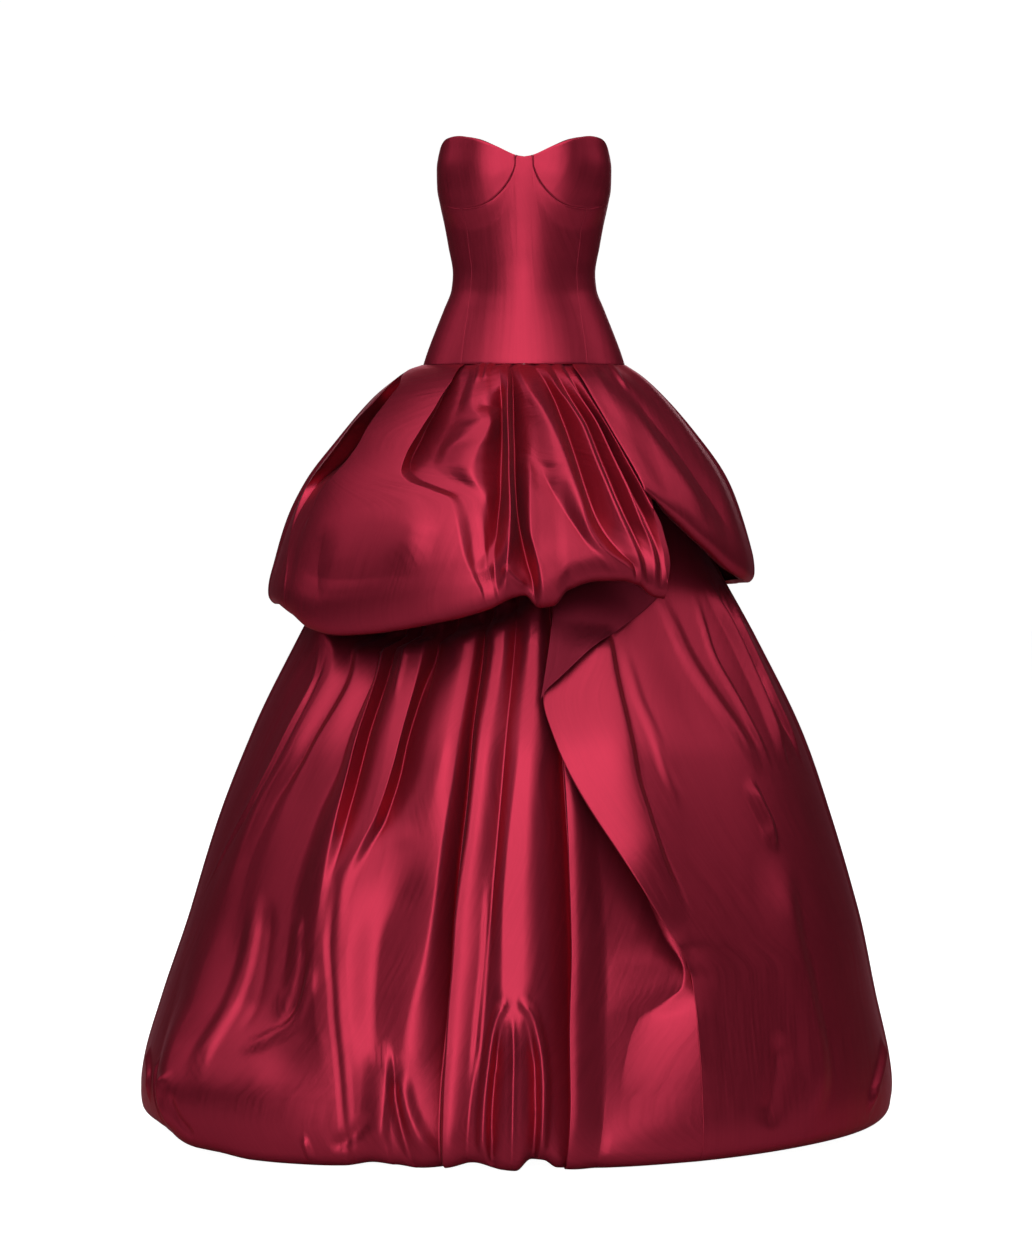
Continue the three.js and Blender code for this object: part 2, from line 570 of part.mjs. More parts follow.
function makeOverskirt() {
  const overskirt = new THREE.Group();
  overskirt.name = "overskirt";
  const body = curves(OVERSKIRT_SECTIONS, "z");
  const frontHem = curves(OVERSKIRT_HEM, "az").z;
  const sideHem = curves(SIDE_LOBE_HEM, "az").z;
  const sideTuck = (az) => lerp(SIDE_LOBE_TUCK.corner, 1, smooth(SIDE_LOBE_TUCK.from, SIDE_LOBE_TUCK.to, az));
  const leftBack = backFolds(OVERSKIRT_BACK, SIDE_SEAM, CENTRE_BACK);
  const rightBack = backFolds(OVERSKIRT_BACK, -CENTRE_BACK, -SIDE_SEAM);
  const rows = OVERSKIRT_ROWS.map((_, i) => i);
  const panels = [
    { name: "overskirt_front", folds: OVERSKIRT_FRONT_FOLDS, hem: frontHem },
    { name: "overskirt_side", folds: SIDE_LOBE_FOLDS, hem: sideHem, tuckShare: sideTuck },
    { name: "overskirt_back_left", folds: leftBack, hem: sideHem },
    { name: "overskirt_back_right", folds: rightBack, hem: frontHem },
  ];
  for (const { name, ...panel } of panels) {
    const surface = foldedSurface({ body, rows: OVERSKIRT_ROWS, ...panel });
    overskirt.add(piece(name, clothWall(surface, foldColumns(panel.folds), rows), CRIMSON));
  }
  return overskirt;
}

// Zip

// A strip inside the back panels that carries the coil.
function makeZipTape() {
  const behind = -(WALL + ZIP_TAPE.behind);
  const surface = (u, v) => {
    const z = lerp(ZIP_TAPE.top, ZIP_TAPE.bottom, v);
    const halfAz = THREE.MathUtils.radToDeg(ZIP_TAPE.width / 2 / torso.halfWidth(z));
    return ovalPoint(torso, z, CENTRE_BACK + lerp(-halfAz, halfAz, u), behind);
  };
  return piece("zip_tape", clothWall(surface, spread(0, 1, 4), spread(0, 1, 9), ZIP_TAPE.wall), ZIP_RED);
}

// A plate with a bail for the pull, cut as one side outline across its width.
function makeZipSlider() {
  const { plate, bail, width } = ZIP_SLIDER;
  const outline = new THREE.Shape();
  outline.moveTo(0, -plate.length / 2);
  outline.lineTo(plate.depth, -plate.length / 2);
  outline.lineTo(plate.depth, -bail.length / 2);
  outline.quadraticCurveTo(bail.depth, -bail.length / 2, bail.depth, -bail.eye.length / 2);
  outline.lineTo(bail.depth, bail.eye.length / 2);
  outline.quadraticCurveTo(bail.depth, bail.length / 2, plate.depth, bail.length / 2);
  outline.lineTo(plate.depth, plate.length / 2);
  outline.lineTo(0, plate.length / 2);
  const eye = new THREE.Path();
  const [near, far] = [ZIP_HINGE.y - bail.eye.depth / 2, ZIP_HINGE.y + bail.eye.depth / 2];
  eye.moveTo(near, -bail.eye.length / 2);
  eye.lineTo(far, -bail.eye.length / 2);
  eye.lineTo(far, bail.eye.length / 2);
  eye.lineTo(near, bail.eye.length / 2);
  outline.holes.push(eye);
  const geometry = new THREE.ExtrudeGeometry(outline, { depth: width, ...CUT_SQUARE });
  geometry.translate(0, 0, -width / 2);
  const [x, y, z] = [new THREE.Vector3(1, 0, 0), new THREE.Vector3(0, 1, 0), new THREE.Vector3(0, 0, 1)];
  geometry.applyMatrix4(new THREE.Matrix4().makeBasis(y, z, x));
  return piece("zip_slider", geometry, ZIP_RED, 0.6, 0.4);
}

// A drop-shaped tab whose top bar turns in the slider's bail. Its own origin is the middle of that bar.
function makeZipPull() {
  const { bar, arm, window, length, neck, tip, thickness } = ZIP_PULL;
  const half = window.width / 2 + arm;
  const shoulder = -(window.to + arm);
  const outline = new THREE.Shape();
  outline.moveTo(-half, bar / 2);
  outline.lineTo(half, bar / 2);
  outline.lineTo(half, shoulder);
  outline.quadraticCurveTo(half, shoulder - arm, neck, shoulder - 2 * arm);
  outline.quadraticCurveTo(neck, -length / 2, tip, -length + tip);
  outline.absarc(0, -length + tip, tip, 0, -Math.PI, true);
  outline.quadraticCurveTo(-neck, -length / 2, -neck, shoulder - 2 * arm);
  outline.quadraticCurveTo(-half, shoulder - arm, -half, shoulder);
  const opening = new THREE.Path();
  opening.moveTo(-window.width / 2, -bar / 2);
  opening.lineTo(-window.width / 2, -window.to);
  opening.lineTo(window.width / 2, -window.to);
  opening.lineTo(window.width / 2, -bar / 2);
  outline.holes.push(opening);
  const geometry = new THREE.ExtrudeGeometry(outline, { depth: thickness, ...CUT_SQUARE });
  geometry.translate(0, 0, -thickness / 2);
  geometry.rotateX(Math.PI / 2);
  const pull = piece("zip_pull", geometry, ZIP_RED, 0.6, 0.4);
  pull.position.set(0, ZIP_HINGE.y, 0);
  return pull;
}

function makeZip() {
  const zip = new THREE.Group();
  zip.name = "zip";
  const head = new THREE.Group();
  head.name = "zip_head";
  head.position.set(0, torso.back(ZIP_SLIDER.z) + ZIP_SLIDER.clear, ZIP_SLIDER.z);
  head.add(makeZipSlider(), makeZipPull());
  zip.add(makeZipTape(), head);
  return zip;
}

const gown = new THREE.Group();
gown.name = "ball_gown";
gown.add(makeBodice(), makeOverskirt(), makeSkirt(), makeZip());
export default gown;
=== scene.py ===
import math

import bpy
import numpy as np
from mathutils import Matrix, Vector


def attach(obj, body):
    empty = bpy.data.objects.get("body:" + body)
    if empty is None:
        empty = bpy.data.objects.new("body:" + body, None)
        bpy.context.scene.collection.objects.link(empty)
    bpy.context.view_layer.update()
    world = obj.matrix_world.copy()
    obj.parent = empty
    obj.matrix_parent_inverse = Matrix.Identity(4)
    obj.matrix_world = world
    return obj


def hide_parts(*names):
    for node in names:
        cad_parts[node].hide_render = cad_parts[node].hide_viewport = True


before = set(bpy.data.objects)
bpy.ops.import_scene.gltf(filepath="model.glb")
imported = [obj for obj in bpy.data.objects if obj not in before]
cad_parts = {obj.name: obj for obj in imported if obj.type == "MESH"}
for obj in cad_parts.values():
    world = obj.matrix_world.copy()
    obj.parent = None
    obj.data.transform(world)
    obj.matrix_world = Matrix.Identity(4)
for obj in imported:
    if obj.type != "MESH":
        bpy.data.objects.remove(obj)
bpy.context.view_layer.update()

# Bodice
# Seven panels of crimson satin on a stiff boned backing: a centre front that rises to the sweetheart
# neckline, two bust cups, two sides and two backs. They are sewn edge to edge, so each seam shows as a
# fine line where the edges turn in.
# Millimetres. Azimuths are degrees round the waist: 0 at the front, 90 at the wearer's left.
HIP_SEAM_Z = -131
SIDE_SEAM = 90
CENTRE_BACK = 180
SEAM_GAP = 0.3
CLOTH_WALL = 1.4
# How the edges turn in at a seam: flatter at the pressed seams down the sides of a panel, and less along its
# upper and lower edges away from the front, over azimuths.
SEAM_ROLL = {"depth": 0.6, "width": 1.6, "flat": 0.15, "less": 0.8, "less_from": 28, "less_to": 60}
CUP_PROUD = {"full": 12, "full_at": 0.5, "at_seam": 8.5, "fades_below": 34}  # of cups and cloth below
BUST_RISES = (4, 34)  # azimuths
BUST_FALLS = (50, SIDE_SEAM)
ZIP_SLOT = 2.6  # between the two backs
BODICE_SECTIONS = [  # z, half width, front depth, back depth, shift to the wearer's left
    (210, 118, 109, 92, 0),
    (181, 121.5, 111.5, 95, 0),
    (150, 126, 112.5, 98, 0),
    (123, 125.5, 111, 99, 0),
    (100, 121.5, 109, 97, 0),
    (70, 115, 106, 94, 0),
    (40, 109.5, 103.5, 91, 0),
    (0, 103, 101, 88, 0),
    (-22, 105, 101, 91, 0),
    (-50, 115.5, 103, 98, 0),
    (-80, 127.5, 107, 106, 0),
    (-110, 139, 112, 113, 0),
    (HIP_SEAM_Z, 146, 116, 118, 0),
]
NECKLINE = [  # azimuth, z
    (0, 164), (5, 166), (19, 179.5), (34, 191), (46, 194.5), (57, 192),
    (69, 183), (82, 166), (96, 149), (120, 136), (150, 129), (180, 127),
]
CUP_SEAM = [  # azimuth, z
    (4.6, 164), (6.8, 146), (10, 130), (16.5, 112), (24, 100),
    (33, 93.5), (46, 91.5), (66, 98), (92, 111),
]
# Azimuths where the centre front's neckline ends and where its edge has come down below the cup, and of the
# princess seam's upper end.
NECK_END = 5.2
CUP_START = 5.5
PRINCESS_TOP = 44
PRINCESS_SEAM = [(97, PRINCESS_TOP), (40, 46.5), (-12, 47), (-70, 42), (HIP_SEAM_Z, 38)]  # z, azimuth


def smooth_step(low, high, value):
    """0 below low, 1 above high, and an even rise between them."""
    share = np.clip((value - low) / (high - low), 0, 1)
    return share * share * (3 - 2 * share)


def smooth_curve(points):
    """A curve through points of place and value that never overshoots one, level beyond both ends."""
    places, values = np.array(sorted(points), float).T
    slopes = np.diff(values) / np.diff(places)
    before = np.concatenate([slopes[:1], slopes])
    after = np.concatenate([slopes, slopes[-1:]])
    same_way = before * after > 0
    tangents = np.where(same_way, 2 * before * after / np.where(same_way, before + after, 1), 0)

    def value_at(place):
        place = np.clip(place, places[0], places[-1])
        i = np.clip(np.searchsorted(places, place, side="right") - 1, 0, len(places) - 2)
        span = places[i + 1] - places[i]
        t = (place - places[i]) / span
        from_start = (values[i] * (1 + 2 * t) + tangents[i] * span * t) * (1 - t) ** 2
        from_end = (values[i + 1] * (3 - 2 * t) - tangents[i + 1] * span * (1 - t)) * t**2
        return from_start + from_end

    return value_at


def body_form(sections):
    """The oval body that a cloth hangs on: its half width, depths and shift as curves over height."""
    names = ("half_width", "front", "back", "shift")
    return {
        name: smooth_curve([(row[0], row[column]) for row in sections])
        for column, name in enumerate(names, start=1)
    }


def on_oval(body, az, z, lift=0.0):
    """Points on a body at azimuths and heights, standing off it by a lift."""
    turn = np.radians(az)
    depth = np.where(np.cos(turn) > 0, body["front"](z), body["back"](z))
    x = body["shift"](z) + (body["half_width"](z) + lift) * np.sin(turn)
    y = -(depth + lift) * np.cos(turn)
    return np.stack([x, y, z + 0 * x], axis=-1)


def run_lengths(grid, axis):
    """Distance along the rows or columns of a grid of points, from its first edge."""
    steps = np.linalg.norm(np.diff(grid, axis=axis), axis=-1)
    start = np.zeros_like(np.take(steps, [0], axis=axis))
    return np.cumsum(np.concatenate([start, steps], axis=axis), axis=axis)


def facing(grid):
    """The way the cloth faces at each point of a grid."""
    out = np.cross(np.gradient(grid, axis=0), np.gradient(grid, axis=1))
    return out / np.linalg.norm(out, axis=-1, keepdims=True)


def shares(steps, edge=(0.004, 0.012, 0.025)):
    """Shares from 0 to 1, closer together at both ends, where the edges turn in."""
    even = np.linspace(0, 1, steps + 1)
    near = np.array(edge)
    return np.unique(np.concatenate([even, near, 1 - near]).round(6))


def turn_in_edges(grid, sides=1.0):
    """A panel with its four edges rolled towards the inside, its two sides by a share of that."""
    across, down = run_lengths(grid, 1), run_lengths(grid, 0)
    to_side = np.minimum(across, across[:, -1:] - across)
    to_end = np.minimum(down, down[-1:] - down)
    at_side = sides * np.exp(-((to_side / SEAM_ROLL["width"]) ** 2))
    from_front = np.degrees(np.abs(np.arctan2(grid[..., 0], -grid[..., 1])))
    less = SEAM_ROLL["less"] * smooth_step(SEAM_ROLL["less_from"], SEAM_ROLL["less_to"], from_front)
    at_end = np.exp(-((to_end / SEAM_ROLL["width"]) ** 2)) * (1 - less)
    return grid - facing(grid) * (SEAM_ROLL["depth"] * np.maximum(at_side, at_end))[..., None]


def cloth_piece(name, grid, finish, wall=0.0):
    """A piece of cloth from a grid of points in mm. Rows run down, columns to the wearer's left. Its UV map
    holds metres along the cloth, for the weave."""
    rows, columns = grid.shape[:2]
    corner = (np.arange(rows - 1)[:, None] * columns + np.arange(columns - 1)).ravel()
    faces = np.stack([corner, corner + columns, corner + columns + 1, corner + 1], axis=-1)
    mesh = bpy.data.meshes.new(name)
    mesh.from_pydata((grid.reshape(-1, 3) / 1000).tolist(), [], faces.tolist())
    along = np.stack([run_lengths(grid, 1), run_lengths(grid, 0)], axis=-1).reshape(-1, 2) / 1000
    mesh.uv_layers.new(name="cloth").data.foreach_set("uv", along[faces.ravel()].ravel())
    mesh.polygons.foreach_set("use_smooth", np.ones(len(faces), bool))
    mesh.materials.append(finish)
    piece = bpy.data.objects.new(name, mesh)
    bpy.context.collection.objects.link(piece)
    if wall:
        solidify = piece.modifiers.new("cloth wall", "SOLIDIFY")
        solidify.thickness = wall / 1000
        solidify.offset = -1
    return piece


def weave_group():
    """Satin weave: long floats of warp thread as a bump, and the slow streaks that run along them."""
    group = bpy.data.node_groups.new("satin weave", "ShaderNodeTree")
    sockets = group.interface
    sockets.new_socket("Cloth", in_out="INPUT", socket_type="NodeSocketVector")
    sockets.new_socket("Threads", in_out="INPUT", socket_type="NodeSocketFloat")
    sockets.new_socket("Height", in_out="OUTPUT", socket_type="NodeSocketFloat")
    sockets.new_socket("Streak", in_out="OUTPUT", socket_type="NodeSocketFloat")
    sockets.new_socket("Ripple", in_out="OUTPUT", socket_type="NodeSocketFloat")
    nodes, links = group.nodes, group.links
    given = nodes.new("NodeGroupInput")
    made = nodes.new("NodeGroupOutput")

    def math_node(operation, first, second=None):
        node = nodes.new("ShaderNodeMath")
        node.operation = operation
        for socket, value in zip(node.inputs, (first, second)):
            if isinstance(value, (int, float)):
                socket.default_value = value
            elif value is not None:
                links.new(value, socket)
        return node.outputs[0]

    split = nodes.new("ShaderNodeSeparateXYZ")
    links.new(given.outputs["Cloth"], split.inputs[0])
    across = math_node("MULTIPLY", split.outputs["X"], given.outputs["Threads"])
    along = math_node("MULTIPLY", split.outputs["Y"], given.outputs["Threads"])
    warp = math_node("SINE", math_node("MULTIPLY", across, 2 * math.pi))
    stagger = math_node("MULTIPLY", math_node("FLOOR", across), 0.4)
    float_at = math_node("ADD", math_node("MULTIPLY", along, 0.2), stagger)
    weft = math_node("SINE", math_node("MULTIPLY", float_at, 2 * math.pi))
    links.new(math_node("ADD", warp, math_node("MULTIPLY", weft, 0.4)), made.inputs["Height"])

    for output, stretched, detail in (("Streak", (260, 9, 1), 3), ("Ripple", (34, 3.5, 1), 2)):
        stretch = nodes.new("ShaderNodeVectorMath")
        stretch.operation = "MULTIPLY"
        stretch.inputs[1].default_value = stretched
        links.new(given.outputs["Cloth"], stretch.inputs[0])
        noise = nodes.new("ShaderNodeTexNoise")
        noise.inputs["Scale"].default_value = 1
        noise.inputs["Detail"].default_value = detail
        links.new(stretch.outputs[0], noise.inputs["Vector"])
        links.new(noise.outputs[0], made.inputs[output])
    return group


SATIN_DEEP = (0.245, 0.0155, 0.033, 1)
SATIN_LIGHT = (0.34, 0.0215, 0.046, 1)
SATIN_THREADS = 2600  # per metre
satin_weave = weave_group()


def satin_finish(name, deep, light, roughness):
    """Duchesse satin: a tinted gloss along the threads, a fine weave, faint streaks and a slight ripple."""
    satin = bpy.data.materials.new(name)
    satin.use_nodes = True
    nodes, links = satin.node_tree.nodes, satin.node_tree.links
    shader = nodes["Principled BSDF"]
    shader.inputs["Metallic"].default_value = 0.84
    shader.inputs["Specular Tint"].default_value = (0.6, 0.16, 0.24, 1)
    shader.inputs["Sheen Weight"].default_value = 0.03
    shader.inputs["Sheen Roughness"].default_value = 0.4
    shader.inputs["Sheen Tint"].default_value = (0.9, 0.35, 0.45, 1)
    cloth = nodes.new("ShaderNodeUVMap")
    cloth.uv_map = "cloth"
    weave = nodes.new("ShaderNodeGroup")
    weave.node_tree = satin_weave
    weave.inputs["Threads"].default_value = SATIN_THREADS
    links.new(cloth.outputs[0], weave.inputs["Cloth"])
    tone = nodes.new("ShaderNodeMix")
    tone.data_type = "RGBA"
    tone.inputs["A"].default_value = deep
    tone.inputs["B"].default_value = light
    links.new(weave.outputs["Streak"], tone.inputs["Factor"])
    links.new(tone.outputs["Result"], shader.inputs["Base Color"])
    gloss = nodes.new("ShaderNodeMapRange")
    gloss.inputs["From Min"].default_value = 0.3
    gloss.inputs["From Max"].default_value = 0.7
    gloss.inputs["To Min"].default_value = roughness
    gloss.inputs["To Max"].default_value = roughness + 0.07
    links.new(weave.outputs["Streak"], gloss.inputs["Value"])
    links.new(gloss.outputs["Result"], shader.inputs["Roughness"])
    ripple = nodes.new("ShaderNodeBump")
    ripple.inputs["Strength"].default_value = 0.5
    ripple.inputs["Distance"].default_value = 0.0012
    links.new(weave.outputs["Ripple"], ripple.inputs["Height"])
    bump = nodes.new("ShaderNodeBump")
    bump.inputs["Strength"].default_value = 0.12
    bump.inputs["Distance"].default_value = 0.00008
    links.new(weave.outputs["Height"], bump.inputs["Height"])
    links.new(ripple.outputs["Normal"], bump.inputs["Normal"])
    links.new(bump.outputs["Normal"], shader.inputs["Normal"])
    return satin


satin = satin_finish("crimson satin", SATIN_DEEP, SATIN_LIGHT, 0.35)


def wear(piece, node):
    """A piece of cloth on the gown, in the place of its solid, which is hidden."""
    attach(piece, "gown")
    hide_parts(node)


torso = body_form(BODICE_SECTIONS)
neckline = smooth_curve(NECKLINE)
cup_seam = smooth_curve(CUP_SEAM)
princess = smooth_curve(PRINCESS_SEAM)


def gap_az(z, gap=SEAM_GAP):
    """Half a gap at a seam as an azimuth."""
    return np.degrees(gap / 2 / torso["half_width"](z))


def bust(az):
    """Share of the bust's fullness at an azimuth: none at the middle and at the side seams."""
    return smooth_step(*BUST_RISES, np.abs(az)) * (1 - smooth_step(*BUST_FALLS, np.abs(az)))


def cup_lift(az, z):
    """How far a cup stands out: most of the way at its seam, and soon all of it, up to the neckline."""
    low = cup_seam(az)
    rise = np.clip((z - low) / (neckline(az) - low), 0, 1)
    more = (CUP_PROUD["full"] - CUP_PROUD["at_seam"]) * smooth_step(0, CUP_PROUD["full_at"], rise)
    return bust(az) * (CUP_PROUD["at_seam"] + more)


def under_cup_lift(az, z):
    """How far the panels under a cup stand out: with the cup at its seam, and soon no more."""
    below = cup_seam(np.abs(az)) - z
    return CUP_PROUD["at_seam"] * bust(az) * (1 - smooth_step(0, CUP_PROUD["fades_below"], below))


def under_cup(az):
    """Height of the upper edge of the panels below a cup, clear of the cup's seam."""
    return cup_seam(az + 2 * gap_az(0)) - 2 * SEAM_GAP


def neck_or_cup(az):
    """Height of the centre front's upper edge: the neckline at the middle, and then below the cup."""
    towards_cup = np.clip((az - NECK_END) / (CUP_START - NECK_END), 0, 1)
    return neckline(az) + (under_cup(az) - neckline(az)) * towards_cup


def hip(az):
    """Height of the bodice's lower edge."""
    return HIP_SEAM_Z + SEAM_GAP / 2 + 0 * az


def bodice_panel(from_az, to_az, top_z, bottom_z, columns, rows, lift, side_roll=SEAM_ROLL["flat"]):
    """A panel on the wearer's left between two seams, given as azimuths by height."""
    at_seam = from_az(0) + columns * (to_az(0) - from_az(0))
    z = top_z(at_seam) + rows[:, None] * (bottom_z(at_seam) - top_z(at_seam))
    az = from_az(z) + columns * (to_az(z) - from_az(z))
    return turn_in_edges(on_oval(torso, az, z, lift(az, z)), side_roll)


def to_wearers_right(grid):
    """A panel of the wearer's left, mirrored."""
    return grid[:, ::-1] * (-1, 1, 1)


# The centre front runs from one princess seam to the other, under both cups. Its columns are closer where
# the neckline runs into the cup seam.
bodice_rows = shares(70)
half_columns = shares(34) * PRINCESS_TOP
neck_columns = np.array([NECK_END - 0.4, NECK_END, CUP_START, CUP_START + 0.3, 6.1, 7, 8])
half_columns = np.unique(np.concatenate([half_columns, neck_columns]))
centre_columns = np.concatenate([-half_columns[:0:-1], half_columns])
centre_top = neck_or_cup(np.abs(centre_columns))
centre_z = centre_top + bodice_rows[:, None] * (HIP_SEAM_Z + SEAM_GAP / 2 - centre_top)
centre_az = centre_columns / PRINCESS_TOP * (princess(centre_z) - gap_az(centre_z))
centre_lift = under_cup_lift(centre_az, centre_z)
centre_grid = turn_in_edges(on_oval(torso, centre_az, centre_z, centre_lift), SEAM_ROLL["flat"])
centre_front = cloth_piece("centre_front", centre_grid, satin, CLOTH_WALL)
wear(centre_front, "bodice_centre_front")

panel_columns = shares(44)
bodice_panels = [  # name, node, grid, flat size, flat area
    (
        "cup", "cup",
        bodice_panel(
            lambda z: CUP_START + 4 * gap_az(0) + 0 * z, lambda z: SIDE_SEAM - gap_az(z),
            neckline, cup_seam, panel_columns, bodice_rows, cup_lift, side_roll=1.0,
        ),
        (0.21, 0.13), 0.017,
    ),
    (
        "side_panel", "bodice_side",
        bodice_panel(
            lambda z: princess(z) + gap_az(z), lambda z: SIDE_SEAM - gap_az(z),
            under_cup, hip, panel_columns, bodice_rows, under_cup_lift,
        ),
        (0.15, 0.26), 0.022,
    ),
    (
        "back_panel", "bodice_back",
        bodice_panel(
            lambda z: SIDE_SEAM + gap_az(z), lambda z: CENTRE_BACK - gap_az(z, ZIP_SLOT),
            neckline, hip, panel_columns, bodice_rows, under_cup_lift,
        ),
        (0.22, 0.29), 0.048,
    ),
]
for name, node, grid, flat, area in bodice_panels:
    for side, own_grid in (("left", grid), ("right", to_wearers_right(grid))):
        panel = cloth_piece(f"{name}_{side}", own_grid, satin, CLOTH_WALL)
        wear(panel, f"{node}_{side}")


# The lining, inside the panels from just below the neckline to the hip seam, open at the zip.
LINING = {"inside": 4.6, "below_neck": 0.8, "above_hip": 1, "zip_gap": 15}
lining_end = CENTRE_BACK - np.degrees(LINING["zip_gap"] / torso["half_width"](0))
lining_az = np.linspace(-lining_end, lining_end, 180) + 0 * bodice_rows[:, None]
lining_top = neckline(np.abs(lining_az)) - LINING["below_neck"]
lining_z = lining_top + bodice_rows[:, None] * (HIP_SEAM_Z + LINING["above_hip"] - lining_top)
bodice_lining = cloth_piece("bodice_lining", on_oval(torso, lining_az, lining_z, -LINING["inside"]), satin)
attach(bodice_lining, "gown")


# Skirt
# Four lengths of the same satin, gathered into the hip seam and turned under at the floor into a bubble.
# The front's left edge lies under a wrapped panel, whose free edge falls to a point and swings away.
UNDER_SEAM = 5  # how far the skirt is drawn in at the hip seam
SKIRT_SECTIONS = [  # z, half width, front depth, back depth, shift to the wearer's left
    (HIP_SEAM_Z, 141, 111, 113, 0),
    (-260, 202, 180, 195, 0),
    (-400, 266, 246, 264, 2),
    (-529, 332, 312, 334, 4),
    (-660, 395, 376, 400, 4),
    (-790, 443, 424, 450, 1),
    (-920, 482, 460, 488, 0),
    (-1051, 518, 490, 521, -8),
    (-1138, 540, 506, 541, -11),
    (-1230, 552, 518, 552, -12),
]
SKIRT_DOWN = [(0, 0), (7, 0.94), (8, 0.985), (9, 1), (10, 0.984)]  # row, share of the drop
SKIRT_TUCK = [(0, 0), (7, 0), (8, 7), (9, 32), (10, 70)]  # row, how far the bubble hem has tucked in
SKIRT_HEM_ROW = 9
SKIRT_HEM = [  # azimuth, z
    (-180, -1228), (-90, -1217), (-72, -1213), (-66, -1215), (-56, -1218), (-46, -1222), (-40, -1228),
    (-30, -1230), (-26, -1229), (-21.5, -1223), (-18, -1226), (-14.8, -1230.5), (-10.5, -1228),
    (-6.3, -1221), (-2.1, -1229), (0, -1230.5), (2.3, -1215), (4.2, -1217), (6.3, -1228), (10.5, -1230),
    (14.8, -1229.5), (30, -1226), (60, -1221), (90, -1220), (180, -1228),
]
# How the skirt's front draws in below the overskirt's bulge, over heights and azimuths, and how it falls
# back in the shade of the hem above, over distances below that hem.
HIDDEN_TOP = (-330, -200)
DRAWN_IN = {"depth": 24, "low": -680, "high": -520, "full_az": 40, "none_az": 75}
UNDER_HEM = {"depth": 50, "from": 23, "to": 3, "right_end": (-80, -55), "left_end": (-4, 4)}
OVERSKIRT_HEM = [  # azimuth, z
    (-180, -486), (-130, -488), (-95, -478), (-80, -475), (-66, -487), (-56, -506), (-46, -513),
    (-35, -509), (-15, -489), (-5.6, -473), (0, -457), (2.6, -454), (6, -471), (9.5, -468), (12.8, -447),
    (20.4, -435), (26, -435), (31.3, -442), (36, -458), (40, -462),
]
WRAP_SEAM_AZ = 28
WRAP_EDGE = [  # z, azimuth of the free edge
    (HIP_SEAM_Z, 13), (-400, 10), (-540, 7), (-600, 3.4), (-660, 5.8),
    (-800, 15.6), (-930, 25.2), (-960, 27.4), (-978, 28), (-1230, 28),
]
WRAP_CLOSED_Z = (-978, -926)  # sewn down below the first, open above the second
WRAP_FULL_Z = -300  # overlaps in full below this
# How far the wrapped panel lies off the skirt's front, and the azimuth where it meets the bell.
WRAP_OVERLAP = {"edge": 14, "seam": 6.5, "hip": 3.6, "clear": 40}
WRAP_SEWN = {"over": 0.2, "fades": 6}  # how it lies over the front where it is sewn down
FRONT_UNDERLAP = {"az": 1.2, "drop": 8}  # how far the front runs on under it
FOLDS_GROW = (0.16, 0.32)  # share of the drop over which the front's folds grow, under the overskirt
